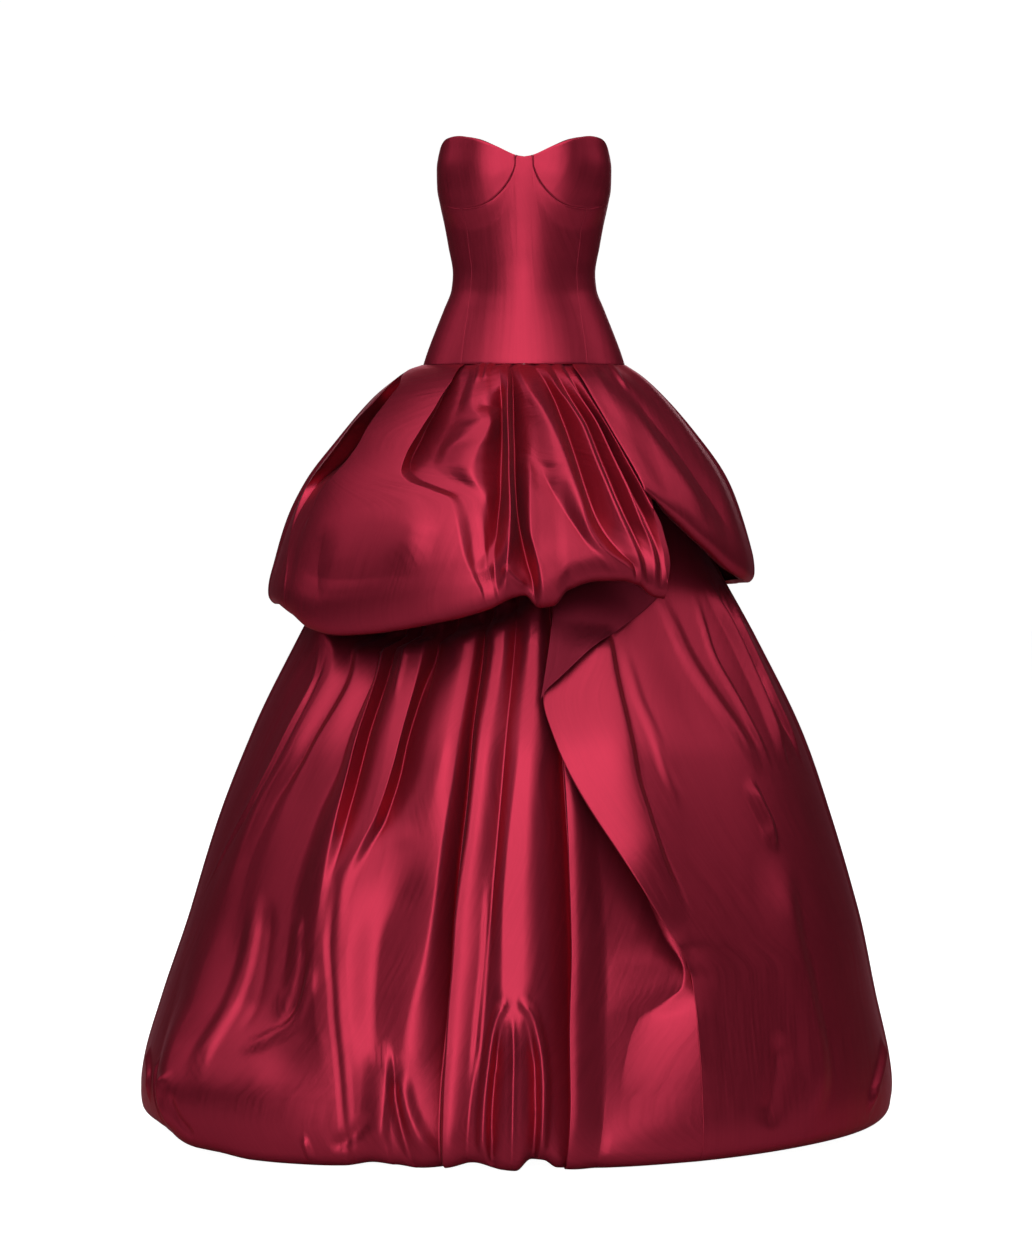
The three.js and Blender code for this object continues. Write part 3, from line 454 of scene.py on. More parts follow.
# The photograph: millimetres per pixel at the gown's axis, the pixels of the axis and of the waist, how far
# the camera stands away and its height. A fold's path is read off it in pixels, from its upper end down.
MM_PER_PIXEL = 1.45
PHOTO_AXIS_X = 524
PHOTO_WAIST_Y = 275
CAMERA_DISTANCE = 7250
EYE_Z = -225
CREASE_SPACING = 2.7  # between the columns of a creased panel
SKIRT_CREASES = [
    # Each: how far the crease is rounded off, then its points: x and y in the photograph, lift off the bell
    # in mm and, where it has a flat top, half the width of that in pixels.
    # The cluster of fine folds at the wearer's right, over a pillow of cloth.
    (1, [(306, 610, -2), (292, 680, -4), (258, 760, -4), (222, 840, -2), (200, 900, 2), (178, 1000, 8),
         (168, 1050, 13), (164, 1090, 15), (170, 1150, 10)]),
    (0.8, [(330, 610, 5), (322, 680, 8), (296, 744, 10), (262, 806, 10), (238, 866, 9), (224, 910, 9),
           (208, 1000, 26), (203, 1050, 54), (203, 1090, 66), (210, 1150, 50)]),
    (0.8, [(341, 610, -5), (331, 690, -4), (304, 750, -3), (273, 806, 0), (250, 862, 2), (240, 910, 4),
           (236, 1000, 19), (236, 1050, 45), (239, 1090, 57), (245, 1150, 43)]),
    (0.8, [(354, 610, 4), (341, 690, 5), (313, 750, 5), (285, 806, 4), (266, 862, 4), (257, 910, 5),
           (258, 1000, 13), (264, 1050, 35), (270, 1090, 45), (274, 1150, 34)]),
    # The dark plane beside the big bubble, and the crest that bounds the bubble.
    (0.6, [(365, 610, -9), (357, 690, -8), (337, 760, -7), (312, 820, -4), (294, 880, 0), (288, 930, 4),
           (288, 1000, 10), (292, 1050, 25), (298, 1090, 31), (302, 1160, 22)]),
    (0.5, [(380, 606, 12), (375, 660, 14), (367, 712, 18), (356, 772, 24), (345, 824, 30), (336, 870, 32),
           (326, 930, 30), (322, 1000, 24), (328, 1090, 18), (332, 1160, 12)]),
    # A wedge that opens from under the overskirt, and the dark one that cuts in beside it.
    (0.3, [(380, 606, -16), (370, 680, -18), (360, 740, -14), (354, 780, -6), (350, 812, 5),
           (346, 850, 19), (339, 890, 27), (333, 930, 27), (333, 1000, 21), (338, 1090, 14),
           (342, 1160, 9)]),
    (1, [(412, 606, 11, 9), (408, 660, 12, 8), (402, 710, 14, 6), (396, 750, 17, 5), (389, 782, 20, 4),
         (380, 812, 22, 3), (364, 846, 24, 2), (348, 882, 25, 1), (341, 930, 23, 1), (341, 1000, 18, 1),
         (346, 1090, 11, 1), (350, 1160, 6, 1)]),
    (0.5, [(428, 606, -24), (418, 660, -27), (406, 700, -27), (398, 740, -24), (392, 782, -16),
           (385, 818, -2), (372, 852, 12), (357, 894, 18), (350, 950, 18), (350, 1000, 14),
           (355, 1090, 8), (358, 1160, 4)]),
    # The bubble's long highlight, and its edge by the trough.
    (0.9, [(468, 602, 8), (460, 646, 9), (452, 700, 10), (446, 740, 11), (437, 785, 10), (425, 830, 6),
           (411, 866, 2), (393, 905, -4), (379, 945, -4), (374, 1000, -4), (381, 1090, 2),
           (384, 1160, 3)]),
    (0.7, [(473, 602, 3), (469, 650, 4), (461, 710, 5), (455, 760, 5), (447, 805, 5), (439, 850, 4),
           (433, 900, 3), (424, 950, 1), (411, 1000, 0), (400, 1050, -1), (392, 1090, -2),
           (390, 1160, -3)]),
    # The dark trough down to the hem, and the crisp fold beside it.
    (0, [(478, 602, -18), (475, 660, -22), (469, 712, -26), (461, 805, -32), (452, 880, -36),
         (448, 930, -36), (445, 990, -34), (441, 1040, -30), (437, 1090, -26), (435, 1165, -22)]),
    (0.7, [(496, 602, 8, 4), (496, 650, 8, 4), (491, 690, 6, 3), (484, 730, 4, 3), (478, 772, 3, 3),
           (471, 832, 3, 3), (463, 881, 3, 3), (457, 929, 3, 3), (453, 984, 3, 3), (448, 1051, 2, 3),
           (444, 1110, 0, 2), (443, 1165, 0, 2)]),
    (0.2, [(516, 602, -12), (510, 680, -12), (503, 760, -12), (497, 830, -12), (491, 900, -10),
           (486, 960, -9), (478, 1040, -10), (468, 1110, -11), (463, 1165, -12)]),
    # The strong fold down the middle.
    (0.8, [(537, 598, 5, 2), (532, 660, 5, 3), (527, 720, 6, 4), (521, 790, 6, 6), (515, 860, 6, 8),
           (512, 920, 6, 9), (512, 985, 6, 9), (513, 1016, 4, 6), (513, 1044, 2, 2.5),
           (513, 1100, 2, 1.5), (511, 1170, 2, 1)]),
    (0.1, [(552, 604, -15), (560, 700, -24), (567, 780, -32), (573, 860, -38), (576, 940, -38),
           (576, 1040, -34), (575, 1110, -26), (570, 1166, -16)]),
    (0.5, [(556, 604, -6, 1), (562, 730, -2, 2), (566, 770, 0, 2), (570, 840, 1, 2.5), (572, 900, 1, 2.5),
           (572, 1000, 1, 2.5), (572, 1100, 1, 2.5), (569, 1166, 0, 1.5)]),
    (0.6, [(568, 604, -14), (584, 730, -15), (596, 800, -17), (604, 860, -19), (609, 920, -21),
           (611, 1000, -21), (610, 1080, -20), (601, 1166, -13)]),
    # The kite of cloth that turns to the light below the wrapped panel's edge.
    (0.5, [(606, 700, -20), (642, 860, -30), (674, 940, -28), (690, 972, -18), (687, 990, -15),
           (670, 1004, -19), (645, 1022, -23), (631, 1060, -22), (622, 1110, -18), (612, 1160, -10)]),
    (0.2, [(670, 880, -22), (692, 945, -12), (696, 965, -6), (694, 990, 0), (697, 1025, 6),
           (702, 1065, 5), (704, 1090, 2), (705, 1120, 0), (706, 1165, 0)]),
]
ROUND = {"crest": 2.0, "trough": 0.6}  # 2 is fully rounded, 0 a knife edge
SKIRT_FOLDS = [  # height of the crest, its width to the left and right, and its path
    # Thin streaks in the cluster at the wearer's right.
    dict(rise=3, left=9, right=7, path=[(318, 640), (304, 696), (270, 768), (230, 840), (200, 900)]),
    dict(rise=-3, left=8, right=8, path=[(326, 645), (300, 715), (262, 790), (226, 856)]),
    # The strong fold parts into three near the hem.
    dict(rise=7, left=12, right=10, fade=(0.1, 0.1),
         path=[(511, 1000), (503, 1007), (497, 1018), (491, 1040), (487, 1070), (482, 1120), (481, 1145),
               (484, 1164)]),
    dict(rise=7, left=10, right=12, fade=(0.1, 0.1),
         path=[(515, 1000), (523, 1006), (531, 1016), (537, 1034), (542, 1060), (544, 1090), (543, 1120),
               (541, 1164)]),
    dict(rise=-12, left=8, right=30, fade=(0.35, 0),
         path=[(503, 1014), (498, 1040), (494, 1070), (490, 1120), (490, 1166)]),
    dict(rise=-12, left=30, right=8, fade=(0.35, 0),
         path=[(524, 1014), (530, 1040), (535, 1070), (536, 1120), (534, 1164)]),
    dict(rise=3, left=7, right=7, fade=(0.2, 0),
         path=[(512, 1012), (513, 1060), (512, 1120), (511, 1168)]),
    # Thin streaks.
    dict(rise=3, left=8, right=8, path=[(400, 615), (398, 650), (392, 700)]),
    dict(rise=-3, left=8, right=8, path=[(420, 615), (419, 660), (414, 710)]),
    dict(rise=3, left=8, right=8, path=[(488, 870), (484, 960), (480, 1000), (474, 1060), (468, 1100)]),
    # Pinches and soft bulges low down at the wearer's right.
    dict(rise=5, left=34, right=12,
         path=[(382, 1040), (385, 1080), (383, 1110), (380, 1136), (373, 1160)]),
    dict(rise=-7, left=10, right=20, fade=(0.3, 0),
         path=[(391, 1056), (393, 1100), (397, 1130), (406, 1168)]),
    dict(rise=6, left=18, right=16, path=[(398, 1074), (404, 1110), (414, 1136), (431, 1164)]),
    dict(rise=-5, left=18, right=18, path=[(374, 1116), (352, 1138), (330, 1152)]),
    dict(rise=7, left=34, right=16,
         path=[(261, 890), (256, 940), (248, 988), (240, 1020), (235, 1040), (227, 1090)]),
    dict(rise=-4, left=18, right=24, path=[(272, 900), (268, 950), (262, 1000), (254, 1040)]),
    dict(rise=6, left=30, right=14, path=[(307, 910), (302, 956), (296, 984), (288, 1004), (279, 1024)]),
    dict(rise=-4, left=14, right=18, path=[(314, 935), (308, 980), (298, 1008), (285, 1028)]),
    dict(rise=6, left=14, right=18,
         path=[(323, 960), (314, 992), (306, 1012), (294, 1028), (278, 1038), (256, 1048)]),
    dict(rise=9, left=30, right=18, path=[(172, 1050), (172, 1090), (178, 1116), (190, 1132)]),
    dict(rise=-9, left=12, right=12, path=[(185, 1055), (187, 1090), (194, 1124)]),
    dict(rise=7, left=12, right=18,
         path=[(210, 1072), (197, 1082), (195, 1096), (197, 1112), (203, 1134)]),
    dict(rise=-5, left=12, right=15, path=[(206, 1090), (209, 1112), (221, 1138)]),
    dict(rise=6, left=14, right=12, path=[(150, 1050), (155, 1080), (152, 1108)]),
    dict(rise=4, left=8, right=8, path=[(310, 1138), (314, 1164)]),
]
WRAP_PANEL_FOLDS = [
    # The plane beside the free edge turns to the light as far as this crest.
    dict(rise=22, left=100, right=20, fade=(0.12, 0.3),
         path=[(606, 622), (612, 680), (618, 720), (626, 770), (640, 820), (654, 862), (670, 894),
               (688, 926)]),
    dict(rise=3, left=14, right=14, path=[(628, 640), (640, 696), (652, 730), (664, 770), (684, 810)]),
    dict(rise=5, left=20, right=26,
         path=[(666, 586), (680, 616), (694, 648), (712, 684), (750, 752), (764, 780)]),
    dict(rise=4, left=12, right=10,
         path=[(704, 592), (714, 630), (724, 660), (740, 694), (754, 726), (774, 768)]),
    dict(rise=8, left=26, right=12,
         path=[(708, 572), (728, 614), (740, 638), (766, 698), (776, 726), (790, 770)]),
    dict(rise=-8, left=11, right=14,
         path=[(718, 576), (732, 614), (749, 650), (765, 682), (780, 712), (800, 756)]),
    dict(rise=7, left=14, right=18,
         path=[(726, 576), (744, 630), (760, 664), (776, 700), (792, 734), (808, 772)]),
    dict(rise=7, left=24, right=14, path=[(750, 780), (762, 806), (771, 826), (774, 852)]),
    dict(rise=9, left=70, right=40,
         path=[(784, 850), (792, 940), (804, 990), (815, 1040), (818, 1076), (796, 1134)]),
    dict(rise=-7, left=40, right=34, path=[(784, 1030), (776, 1090), (768, 1134)]),
    dict(rise=8, left=16, right=16, path=[(884, 1040), (878, 1084), (869, 1118)]),
]


def seen_at(body, place):
    """Azimuth and height of the spot on the front of a body that shows at a pixel of the photograph."""
    eye_y = PHOTO_WAIST_Y - EYE_Z / MM_PER_PIXEL
    depth = 0.0
    for _ in range(8):
        scale = MM_PER_PIXEL * (1 - depth / CAMERA_DISTANCE)
        z = EYE_Z + (eye_y - place[1]) * scale
        x = (place[0] - PHOTO_AXIS_X) * scale
        turn = np.arcsin(np.clip((x - body["shift"](z)) / body["half_width"](z), -0.999, 0.999))
        depth = body["front"](z) * np.cos(turn)
    return np.degrees(turn), z


def fold_line(body, fold):
    """A fold's path as a smooth line of close points: azimuth, height and share of its length."""
    places = np.array([seen_at(body, place) for place in fold["path"]])
    across = np.diff(places[:, 0]) * np.radians(body["half_width"](places[1:, 1]))
    along = np.concatenate([[0], np.cumsum(np.hypot(across, np.diff(places[:, 1])))])
    at = np.linspace(0, along[-1], int(along[-1] / 2.5) + 4)
    az = smooth_curve(list(zip(along, places[:, 0])))(at)
    z = smooth_curve(list(zip(along, places[:, 1])))(at)
    return az, z, at / along[-1]


def press_folds(body, az, z, folds):
    """How far the folds lift the cloth off a body at azimuths and heights."""
    lift = np.zeros(az.shape)
    mm_per_degree = np.radians(body["half_width"](z))
    for fold in folds:
        line_az, line_z, share = fold_line(body, fold)
        starts, ends = fold.get("fade", (0.25, 0.25))
        strength = smooth_step(0, max(starts, 1e-6), share) * smooth_step(0, max(ends, 1e-6), 1 - share)
        strength[-1] = 1.0 if ends == 0 else 0.0
        reach = max(fold["left"], fold["right"])
        off_az = np.abs(az - np.clip(az, line_az.min(), line_az.max())) * mm_per_degree
        off_z = np.abs(z - np.clip(z, line_z.min(), line_z.max()))
        near = np.nonzero((off_az < reach) & (off_z < reach))
        if not len(near[0]):
            continue
        gap_x = (az[near][:, None] - line_az) * mm_per_degree[near][:, None]
        gap_z = z[near][:, None] - line_z
        spot = np.argmin(gap_x**2 + gap_z**2, axis=1)
        each = np.arange(len(spot))
        gap_x, gap_z = gap_x[each, spot], gap_z[each, spot]
        run_x = np.gradient(line_az) * np.radians(body["half_width"](line_z))
        run_z = np.gradient(line_z)
        length = np.hypot(run_x, run_z)
        run_x, run_z = (run_x / length)[spot], (run_z / length)[spot]
        to_right = run_x * gap_z - run_z * gap_x
        width = np.where(to_right > 0, fold["right"], fold["left"])
        off = np.clip(np.hypot(gap_x, gap_z) / width, 0, 1)
        roundness = ROUND["crest" if fold["rise"] > 0 else "trough"]
        shape = strength[spot] * (1 - off) ** 2 * (1 + roundness * off)
        lift[near] += fold["rise"] * shape
    return lift


def hang(body, az, z, lift, folds=()):
    """Cloth on a body, lifted off it, with its folds pressed in across the body's own surface."""
    across = on_oval(body, az + 0.1, z) - on_oval(body, az - 0.1, z)
    across /= np.linalg.norm(across, axis=-1, keepdims=True)
    up = on_oval(body, az, z + 1) - on_oval(body, az, z - 1)
    up /= np.linalg.norm(up, axis=-1, keepdims=True)
    out = np.cross(across, up)
    out /= np.linalg.norm(out, axis=-1, keepdims=True)
    return on_oval(body, az, z, lift) + out * press_folds(body, az, z, folds)[..., None]


def shoulders(line):
    """A crease with a flat top, given a half width at each point, as the two lines beside it."""
    sides = []
    for way in (-1, 1):
        sides.append([(x + way * half, y, lift - half / 12) for x, y, lift, half in line])
    return sides


def creased(body, level, down, lines, ends, end_drop=0.0):
    """Columns that run along given creases between two ends, and the cloth's lift on them. Level
    gives the height at an azimuth and a share of the drop. End drop is how far the far end falls behind."""
    down = down[:, None]
    az, lift, round_off = [ends[0] + 0 * down], [0 * down], [1]
    for rounding, crease in lines:
        for line in shoulders(crease) if len(crease[0]) == 4 else [crease]:
            places = np.array([seen_at(body, point[:2]) for point in line])
            across = smooth_curve(list(zip(places[:, 1], places[:, 0])))
            height = smooth_curve([(place[1], point[2]) for place, point in zip(places, line)])
            own = 0 * down + places[0, 0]
            for _ in range(8):
                own = across(level(own, down))
            az.append(own)
            lift.append(height(level(own, down)))
            round_off.append(rounding)
    az.append(ends[1] + 0 * down)
    lift.append(lift[-1] - end_drop)
    round_off.append(1)
    wide = [np.abs(far - near) + 0.02 for near, far in zip(az, az[1:])]
    slope = [(high - low) / span for low, high, span in zip(lift, lift[1:], wide)]
    all_az, all_lift = [], []
    for i, span in enumerate(wide):
        ends_slope = []
        for point, beyond in ((i, i - 1), (i + 1, i + 1)):
            other = slope[beyond] if 0 <= beyond < len(slope) else 0 * down
            same_way = slope[i] * other > 0
            through = 2 * slope[i] * other / np.where(same_way, slope[i] + other, 1)
            steepness = np.clip(np.abs(other) / (0.4 * np.abs(slope[i]) + 1e-6), 0, 1)
            sharp = 1.5 * (1 - round_off[point]) * steepness * slope[i]
            ends_slope.append(np.where(same_way, through, sharp) * span)
        length = span * np.radians(body["half_width"](level(az[i], down)))
        t = np.linspace(0, 1, max(3, int(length.max() / CREASE_SPACING)), endpoint=False)
        eased = ends_slope[0] * (t - 2 * t**2 + t**3) + ends_slope[1] * (t**3 - t**2)
        all_az.append(az[i] + t * (az[i + 1] - az[i]))
        all_lift.append(lift[i] + (lift[i + 1] - lift[i]) * (3 * t**2 - 2 * t**3) + eased)
    return np.concatenate(all_az + [az[-1]], axis=1), np.concatenate(all_lift + [lift[-1]], axis=1)


def gathers(az, down, lines):
    """Lift of even gathers between fold lines: azimuth, and lift at the seam, half way and at the hem."""
    places, top, middle, low = np.array(lines, float).T
    i = np.clip(np.searchsorted(places, az, side="right") - 1, 0, len(places) - 2)
    eased = smooth_step(0, 1, (az - places[i]) / (places[i + 1] - places[i]))

    def between(values):
        return values[i] + eased * (values[i + 1] - values[i])

    upper = between(top) + smooth_step(0, 0.5, down) * (between(middle) - between(top))
    return upper + smooth_step(0.5, 0.95, down) * (between(low) - upper)


def uneven_gathers(from_az, to_az, count, seam, middle, low, seed):
    """Fold lines of a hidden panel: crests and troughs in turn, uneven in place and depth."""
    random = np.random.default_rng(seed)
    lines = []
    for i in range(2 * count + 1):
        at_seam = i in (0, 2 * count)
        way = 1 if i % 2 else -1
        stray = 0 if at_seam else random.uniform(-0.28, 0.28)
        place = from_az + (to_az - from_az) * (i + stray) / (2 * count)
        size = 0 if at_seam else random.uniform(0.65, 1.3)
        lines.append((place, way * seam, way * middle * size, way * low * size))
    return lines


skirt_body = body_form(SKIRT_SECTIONS)
skirt_down = smooth_curve(SKIRT_DOWN)
skirt_tuck = smooth_curve(SKIRT_TUCK)
skirt_hem = smooth_curve(SKIRT_HEM)
front_hem = smooth_curve(OVERSKIRT_HEM)
wrap_edge = smooth_curve(WRAP_EDGE)


def skirt_rows(hidden, shown, hem):
    """Rows of a skirt panel: few where the overskirt hides it, close together below and round the hem."""
    return np.concatenate([
        np.linspace(0, 1.7, hidden, endpoint=False),
        np.linspace(1.7, 7, shown, endpoint=False),
        np.linspace(7, 10, hem),
    ])


def drawn_in(az, z):
    """How far the skirt's front draws in where the overskirt covers it, and just below."""
    along = smooth_step(DRAWN_IN["low"], DRAWN_IN["high"], z) - smooth_step(HIDDEN_TOP[0], HIP_SEAM_Z, z)
    around = 1 - smooth_step(DRAWN_IN["full_az"], DRAWN_IN["none_az"], np.abs(az))
    near_hem = smooth_step(-UNDER_HEM["from"], -UNDER_HEM["to"], z - front_hem(az))
    shaded = near_hem - smooth_step(*HIDDEN_TOP, z)
    shaded = shaded * smooth_step(*UNDER_HEM["right_end"], az)
    shaded = shaded * (1 - smooth_step(*UNDER_HEM["left_end"], az))
    return DRAWN_IN["depth"] * along * around + UNDER_HEM["depth"] * shaded


def skirt_level(az, down):
    """Height on the skirt at azimuths and shares of its drop."""
    return HIP_SEAM_Z - SEAM_GAP / 2 + down * (skirt_hem(az) - HIP_SEAM_Z)


def skirt_panel(az, rows, folds=(), lines=None, own_lift=None):
    """A length of the skirt: azimuths by row and column, hung from the hip seam to the turned hem."""
    down = skirt_down(rows)[:, None]
    z = skirt_level(az, down)
    lift = -skirt_tuck(rows)[:, None] - UNDER_SEAM * (1 - down) - drawn_in(az, z)
    if lines is not None:
        turned = 1 - 0.5 * smooth_step(SKIRT_HEM_ROW - 1, SKIRT_HEM_ROW + 1, rows)[:, None]
        lift = lift + gathers(az, down, lines) * turned
    if own_lift is not None:
        lift = lift + own_lift(az, z)
    return hang(skirt_body, az, z, lift, folds)


# The front's last crease runs along the wrapped panel's seam.
seam_crease = SKIRT_CREASES[-1][1]
seam_places = [seen_at(skirt_body, point[:2]) for point in seam_crease]
seam_lift = smooth_curve([(place[1], point[2]) for place, point in zip(seam_places, seam_crease)])


def wrap_lift(az, z):
    """How far the wrapped panel lies off the bell, up to its free edge, which is sewn down near the hem."""
    edge = wrap_edge(z)
    across = np.where(edge < WRAP_SEAM_AZ, (az - edge) / np.maximum(WRAP_SEAM_AZ - edge, 1e-6), 1)
    hanging = 1 - smooth_step(WRAP_FULL_Z, HIP_SEAM_Z, z)
    closing = WRAP_OVERLAP["seam"] - WRAP_OVERLAP["edge"]
    overlap = WRAP_OVERLAP["edge"] + closing * np.clip(across, 0, 1) ** 0.7
    lapped = WRAP_OVERLAP["hip"] + (overlap - WRAP_OVERLAP["hip"]) * hanging
    lapped = lapped * (1 - smooth_step(WRAP_SEAM_AZ, WRAP_OVERLAP["clear"], az))
    open_share = smooth_step(*WRAP_CLOSED_Z, z)
    beyond_seam = smooth_step(WRAP_SEAM_AZ, WRAP_SEAM_AZ + WRAP_SEWN["fades"], az)
    sewn = (seam_lift(z) + WRAP_SEWN["over"]) * (1 - beyond_seam)
    return lapped * open_share + sewn * (1 - open_share)


front_rows = skirt_rows(12, 122, 28)
front_down = skirt_down(front_rows)
front_ends = (-SIDE_SEAM, WRAP_SEAM_AZ + FRONT_UNDERLAP["az"])
front_az, front_lift = creased(
    skirt_body, skirt_level, front_down, SKIRT_CREASES, front_ends, end_drop=FRONT_UNDERLAP["drop"]
)
front_lift = front_lift * smooth_step(*FOLDS_GROW, front_down)[:, None]
front_grid = skirt_panel(front_az, front_rows, SKIRT_FOLDS, own_lift=lambda az, z: front_lift)
skirt_front = cloth_piece("skirt_front", front_grid, satin)
wear(skirt_front, "skirt_front")

# The wrapped panel's free edge is folded back behind itself. Its columns stand closer towards the fold,
# behind it and then in front.
EDGE_FOLD = {"width": 20, "under": 3.0, "round": 0.4, "sewn_in": 5}
edge_back = np.array([EDGE_FOLD["width"], 12, 6, 2.5, 0.8])
edge_out = np.array([0, 0.8, 2.5, 5, 8.5, 12.5])


def folded_edge(body, edge_az, far_az, z, columns, sewn=0.0):
    """Azimuths from behind a folded edge, round it and across to the far side, and the lift of each. Where
    it is sewn down, the edge runs in under the cloth beside it."""
    sewn = (sewn + 0 * z)[:, None]
    per_mm = np.degrees(1 / body["half_width"](z))[:, None]
    start = edge_az[:, None] + edge_out[-1] * per_mm
    across = start + np.linspace(0, 1, columns)[1:] * (far_az - start)
    az = np.concatenate([
        edge_az[:, None] + edge_back * per_mm * (1 - sewn),
        edge_az[:, None] + edge_out * per_mm,
        across,
    ], axis=1)
    lift = np.zeros(az.shape)
    runs_in = EDGE_FOLD["sewn_in"] * edge_back / edge_back[0]
    lift[:, :len(edge_back)] = -EDGE_FOLD["under"] * (1 - sewn) - runs_in * sewn
    lift[:, len(edge_back)] = -EDGE_FOLD["under"] / 2 * (1 - sewn[:, 0])
    lift[:, len(edge_back) + 1] = -EDGE_FOLD["round"] * (1 - sewn[:, 0])
    return az, lift


wrap_z = HIP_SEAM_Z + front_down * (skirt_hem(WRAP_SEAM_AZ) - HIP_SEAM_Z)
wrap_sewn = 1 - smooth_step(*WRAP_CLOSED_Z, wrap_z)
wrap_az, edge_lift = folded_edge(skirt_body, wrap_edge(wrap_z), SIDE_SEAM, wrap_z, 200, wrap_sewn)
wrap_grid = skirt_panel(
    wrap_az, front_rows, WRAP_PANEL_FOLDS, own_lift=lambda az, z: wrap_lift(az, z) + edge_lift
)
skirt_wrap = cloth_piece("skirt_wrap", wrap_grid, satin)
wear(skirt_wrap, "skirt_wrap")

# The panel's top corner is folded over into a flap, which hangs from under the overskirt to a point.
# The flap shows the satin's duller wrong side, and its colour is painted about half as dark as the face's:
# painted shade from the overskirt's hem above it.
SHADED_WRONG_SIDE_DEEP = (0.12, 0.008, 0.018, 1)
SHADED_WRONG_SIDE_PALE = (0.15, 0.010, 0.022, 1)
# Its rim from the point up, and its upper edge, as x and y in the photograph.
FLAP_RIM = [(540, 700), (546, 690), (560, 678), (580, 661), (600, 645), (634, 621), (658, 604), (670, 592)]
FLAP_TOP = [(557, 562), (672, 552)]
FLAP_OFF = {"top": 4, "rim": 9, "point": 4, "full_at": 0.4}  # how far it stands off the panel
RIM_ROLL = [(1.004, 0.85), (1.0, 0.7), (0.97, 0.5), (0.92, 0.5)]  # share of the drop, and of standing off
rim_places = np.array([seen_at(skirt_body, place) for place in FLAP_RIM])
top_places = np.array([seen_at(skirt_body, place) for place in FLAP_TOP])
rim_share = np.linspace(0, 1, len(FLAP_RIM))
flap_across = np.linspace(0, 1, 90)
rim_az = smooth_curve(list(zip(rim_share, rim_places[:, 0])))(flap_across)
rim_z = smooth_curve(list(zip(rim_share, rim_places[:, 1])))(flap_across)
rim_line = np.stack([rim_az, rim_z], axis=-1)
top_line = top_places[0] + flap_across[:, None] * (top_places[1] - top_places[0])
roll_down, roll_off = np.array(RIM_ROLL).T
flap_down = np.concatenate([np.linspace(0, 1, 46), roll_down])[:, None, None]
flap_place = top_line + flap_down * (rim_line - top_line)
flap_az, flap_z = flap_place[..., 0], flap_place[..., 1]
from_point = smooth_step(0, FLAP_OFF["full_at"], flap_across)
rim_off = FLAP_OFF["point"] + (FLAP_OFF["rim"] - FLAP_OFF["point"]) * from_point
flap_off = FLAP_OFF["top"] + (rim_off - FLAP_OFF["top"]) * np.clip(flap_down[..., 0], 0, 1) ** 2
flap_off[-len(RIM_ROLL):] *= roll_off[:, None]
flap_lift = wrap_lift(flap_az, flap_z) - drawn_in(flap_az, flap_z) + flap_off
flap_grid = hang(skirt_body, flap_az, flap_z, flap_lift, WRAP_PANEL_FOLDS)
# The flap's finish is the real, rougher wrong side, with painted shade that darkens its colour.
shaded_wrong_side = satin_finish("wrong side of the satin, painted darker for shade", SHADED_WRONG_SIDE_DEEP, SHADED_WRONG_SIDE_PALE, 0.5)
wrap_flap = cloth_piece("wrap_flap", flap_grid, shaded_wrong_side)
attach(wrap_flap, "gown")

# The two backs hang in uneven gathers.
back_rows = skirt_rows(12, 110, 22)
for side, edges, seed in (("left", (SIDE_SEAM, CENTRE_BACK), 3), ("right", (-CENTRE_BACK, -SIDE_SEAM), 5)):
    lines = uneven_gathers(*edges, count=8, seam=1, middle=11, low=9, seed=seed)
    back_az = np.linspace(*edges, 170) + 0 * back_rows[:, None]
    back = cloth_piece(f"skirt_back_{side}", skirt_panel(back_az, back_rows, lines=lines), satin)
    wear(back, f"skirt_back_{side}")


# Overskirt
# A short bubble of the same satin, gathered and pleated into the hip seam. Its front is caught up towards
# the wearer's left, where a side lobe is draped over the pleats.
OVERSKIRT_SECTIONS = [  # z, half width, front depth, back depth, shift to the wearer's left
    (HIP_SEAM_Z, 146, 116, 118, 0),
    (-138, 161, 133, 134, -4),
    (-152, 181, 158, 158, -5),
    (-181, 212, 192, 196, -7),
    (-239, 258, 243, 252, -7),
    (-297, 298, 286, 300, -9),
    (-355, 325, 316, 330, -12),
    (-413, 344, 334, 348, -13),
    (-471, 358, 345, 360, -15),
    (-520, 362, 349, 364, -15),
]
OVERSKIRT_DOWN = [  # row, share of the drop
    (0, 0), (1, 0.025), (2, 0.08), (3, 0.18), (7, 0.86), (8, 0.965), (9, 1), (10, 0.985),
]
OVERSKIRT_TUCK = [(0, 0), (7, 0), (8, 5), (9, 16), (10, 25)]  # row, how far the hem has tucked in
OVERSKIRT_HEM_ROW = 9
SIDE_LOBE_HEM = [  # azimuth, z
    (30, -298), (35, -308), (40, -328), (45.7, -352), (51.6, -378), (58.5, -402), (68.5, -430), (78, -442),
    (86, -445), (100, -448), (180, -486),
]
SIDE_LOBE_EDGE = [(571, 366), (596, 408), (618, 446), (641, 487)]  # x and y in the photograph
SIDE_LOBE_TUCK = {"corner": 0.2, "from": 34, "to": 46}  # share of the hem's tuck, over azimuths
FRONT_END = {"top": 38, "hem": 39}  # azimuth of the front's end under the lobe
UNDER_LOBE = {"depth": 8, "from": -6, "to": 1}  # how the front falls back, by azimuth from the lobe's edge
SIDE_LOBE_LIFT = [(32, 7), (36, 8), (44, 3), (53, 3), (63, 0), (73, 3), (82, 0), (90, 0)]  # azimuth, lift
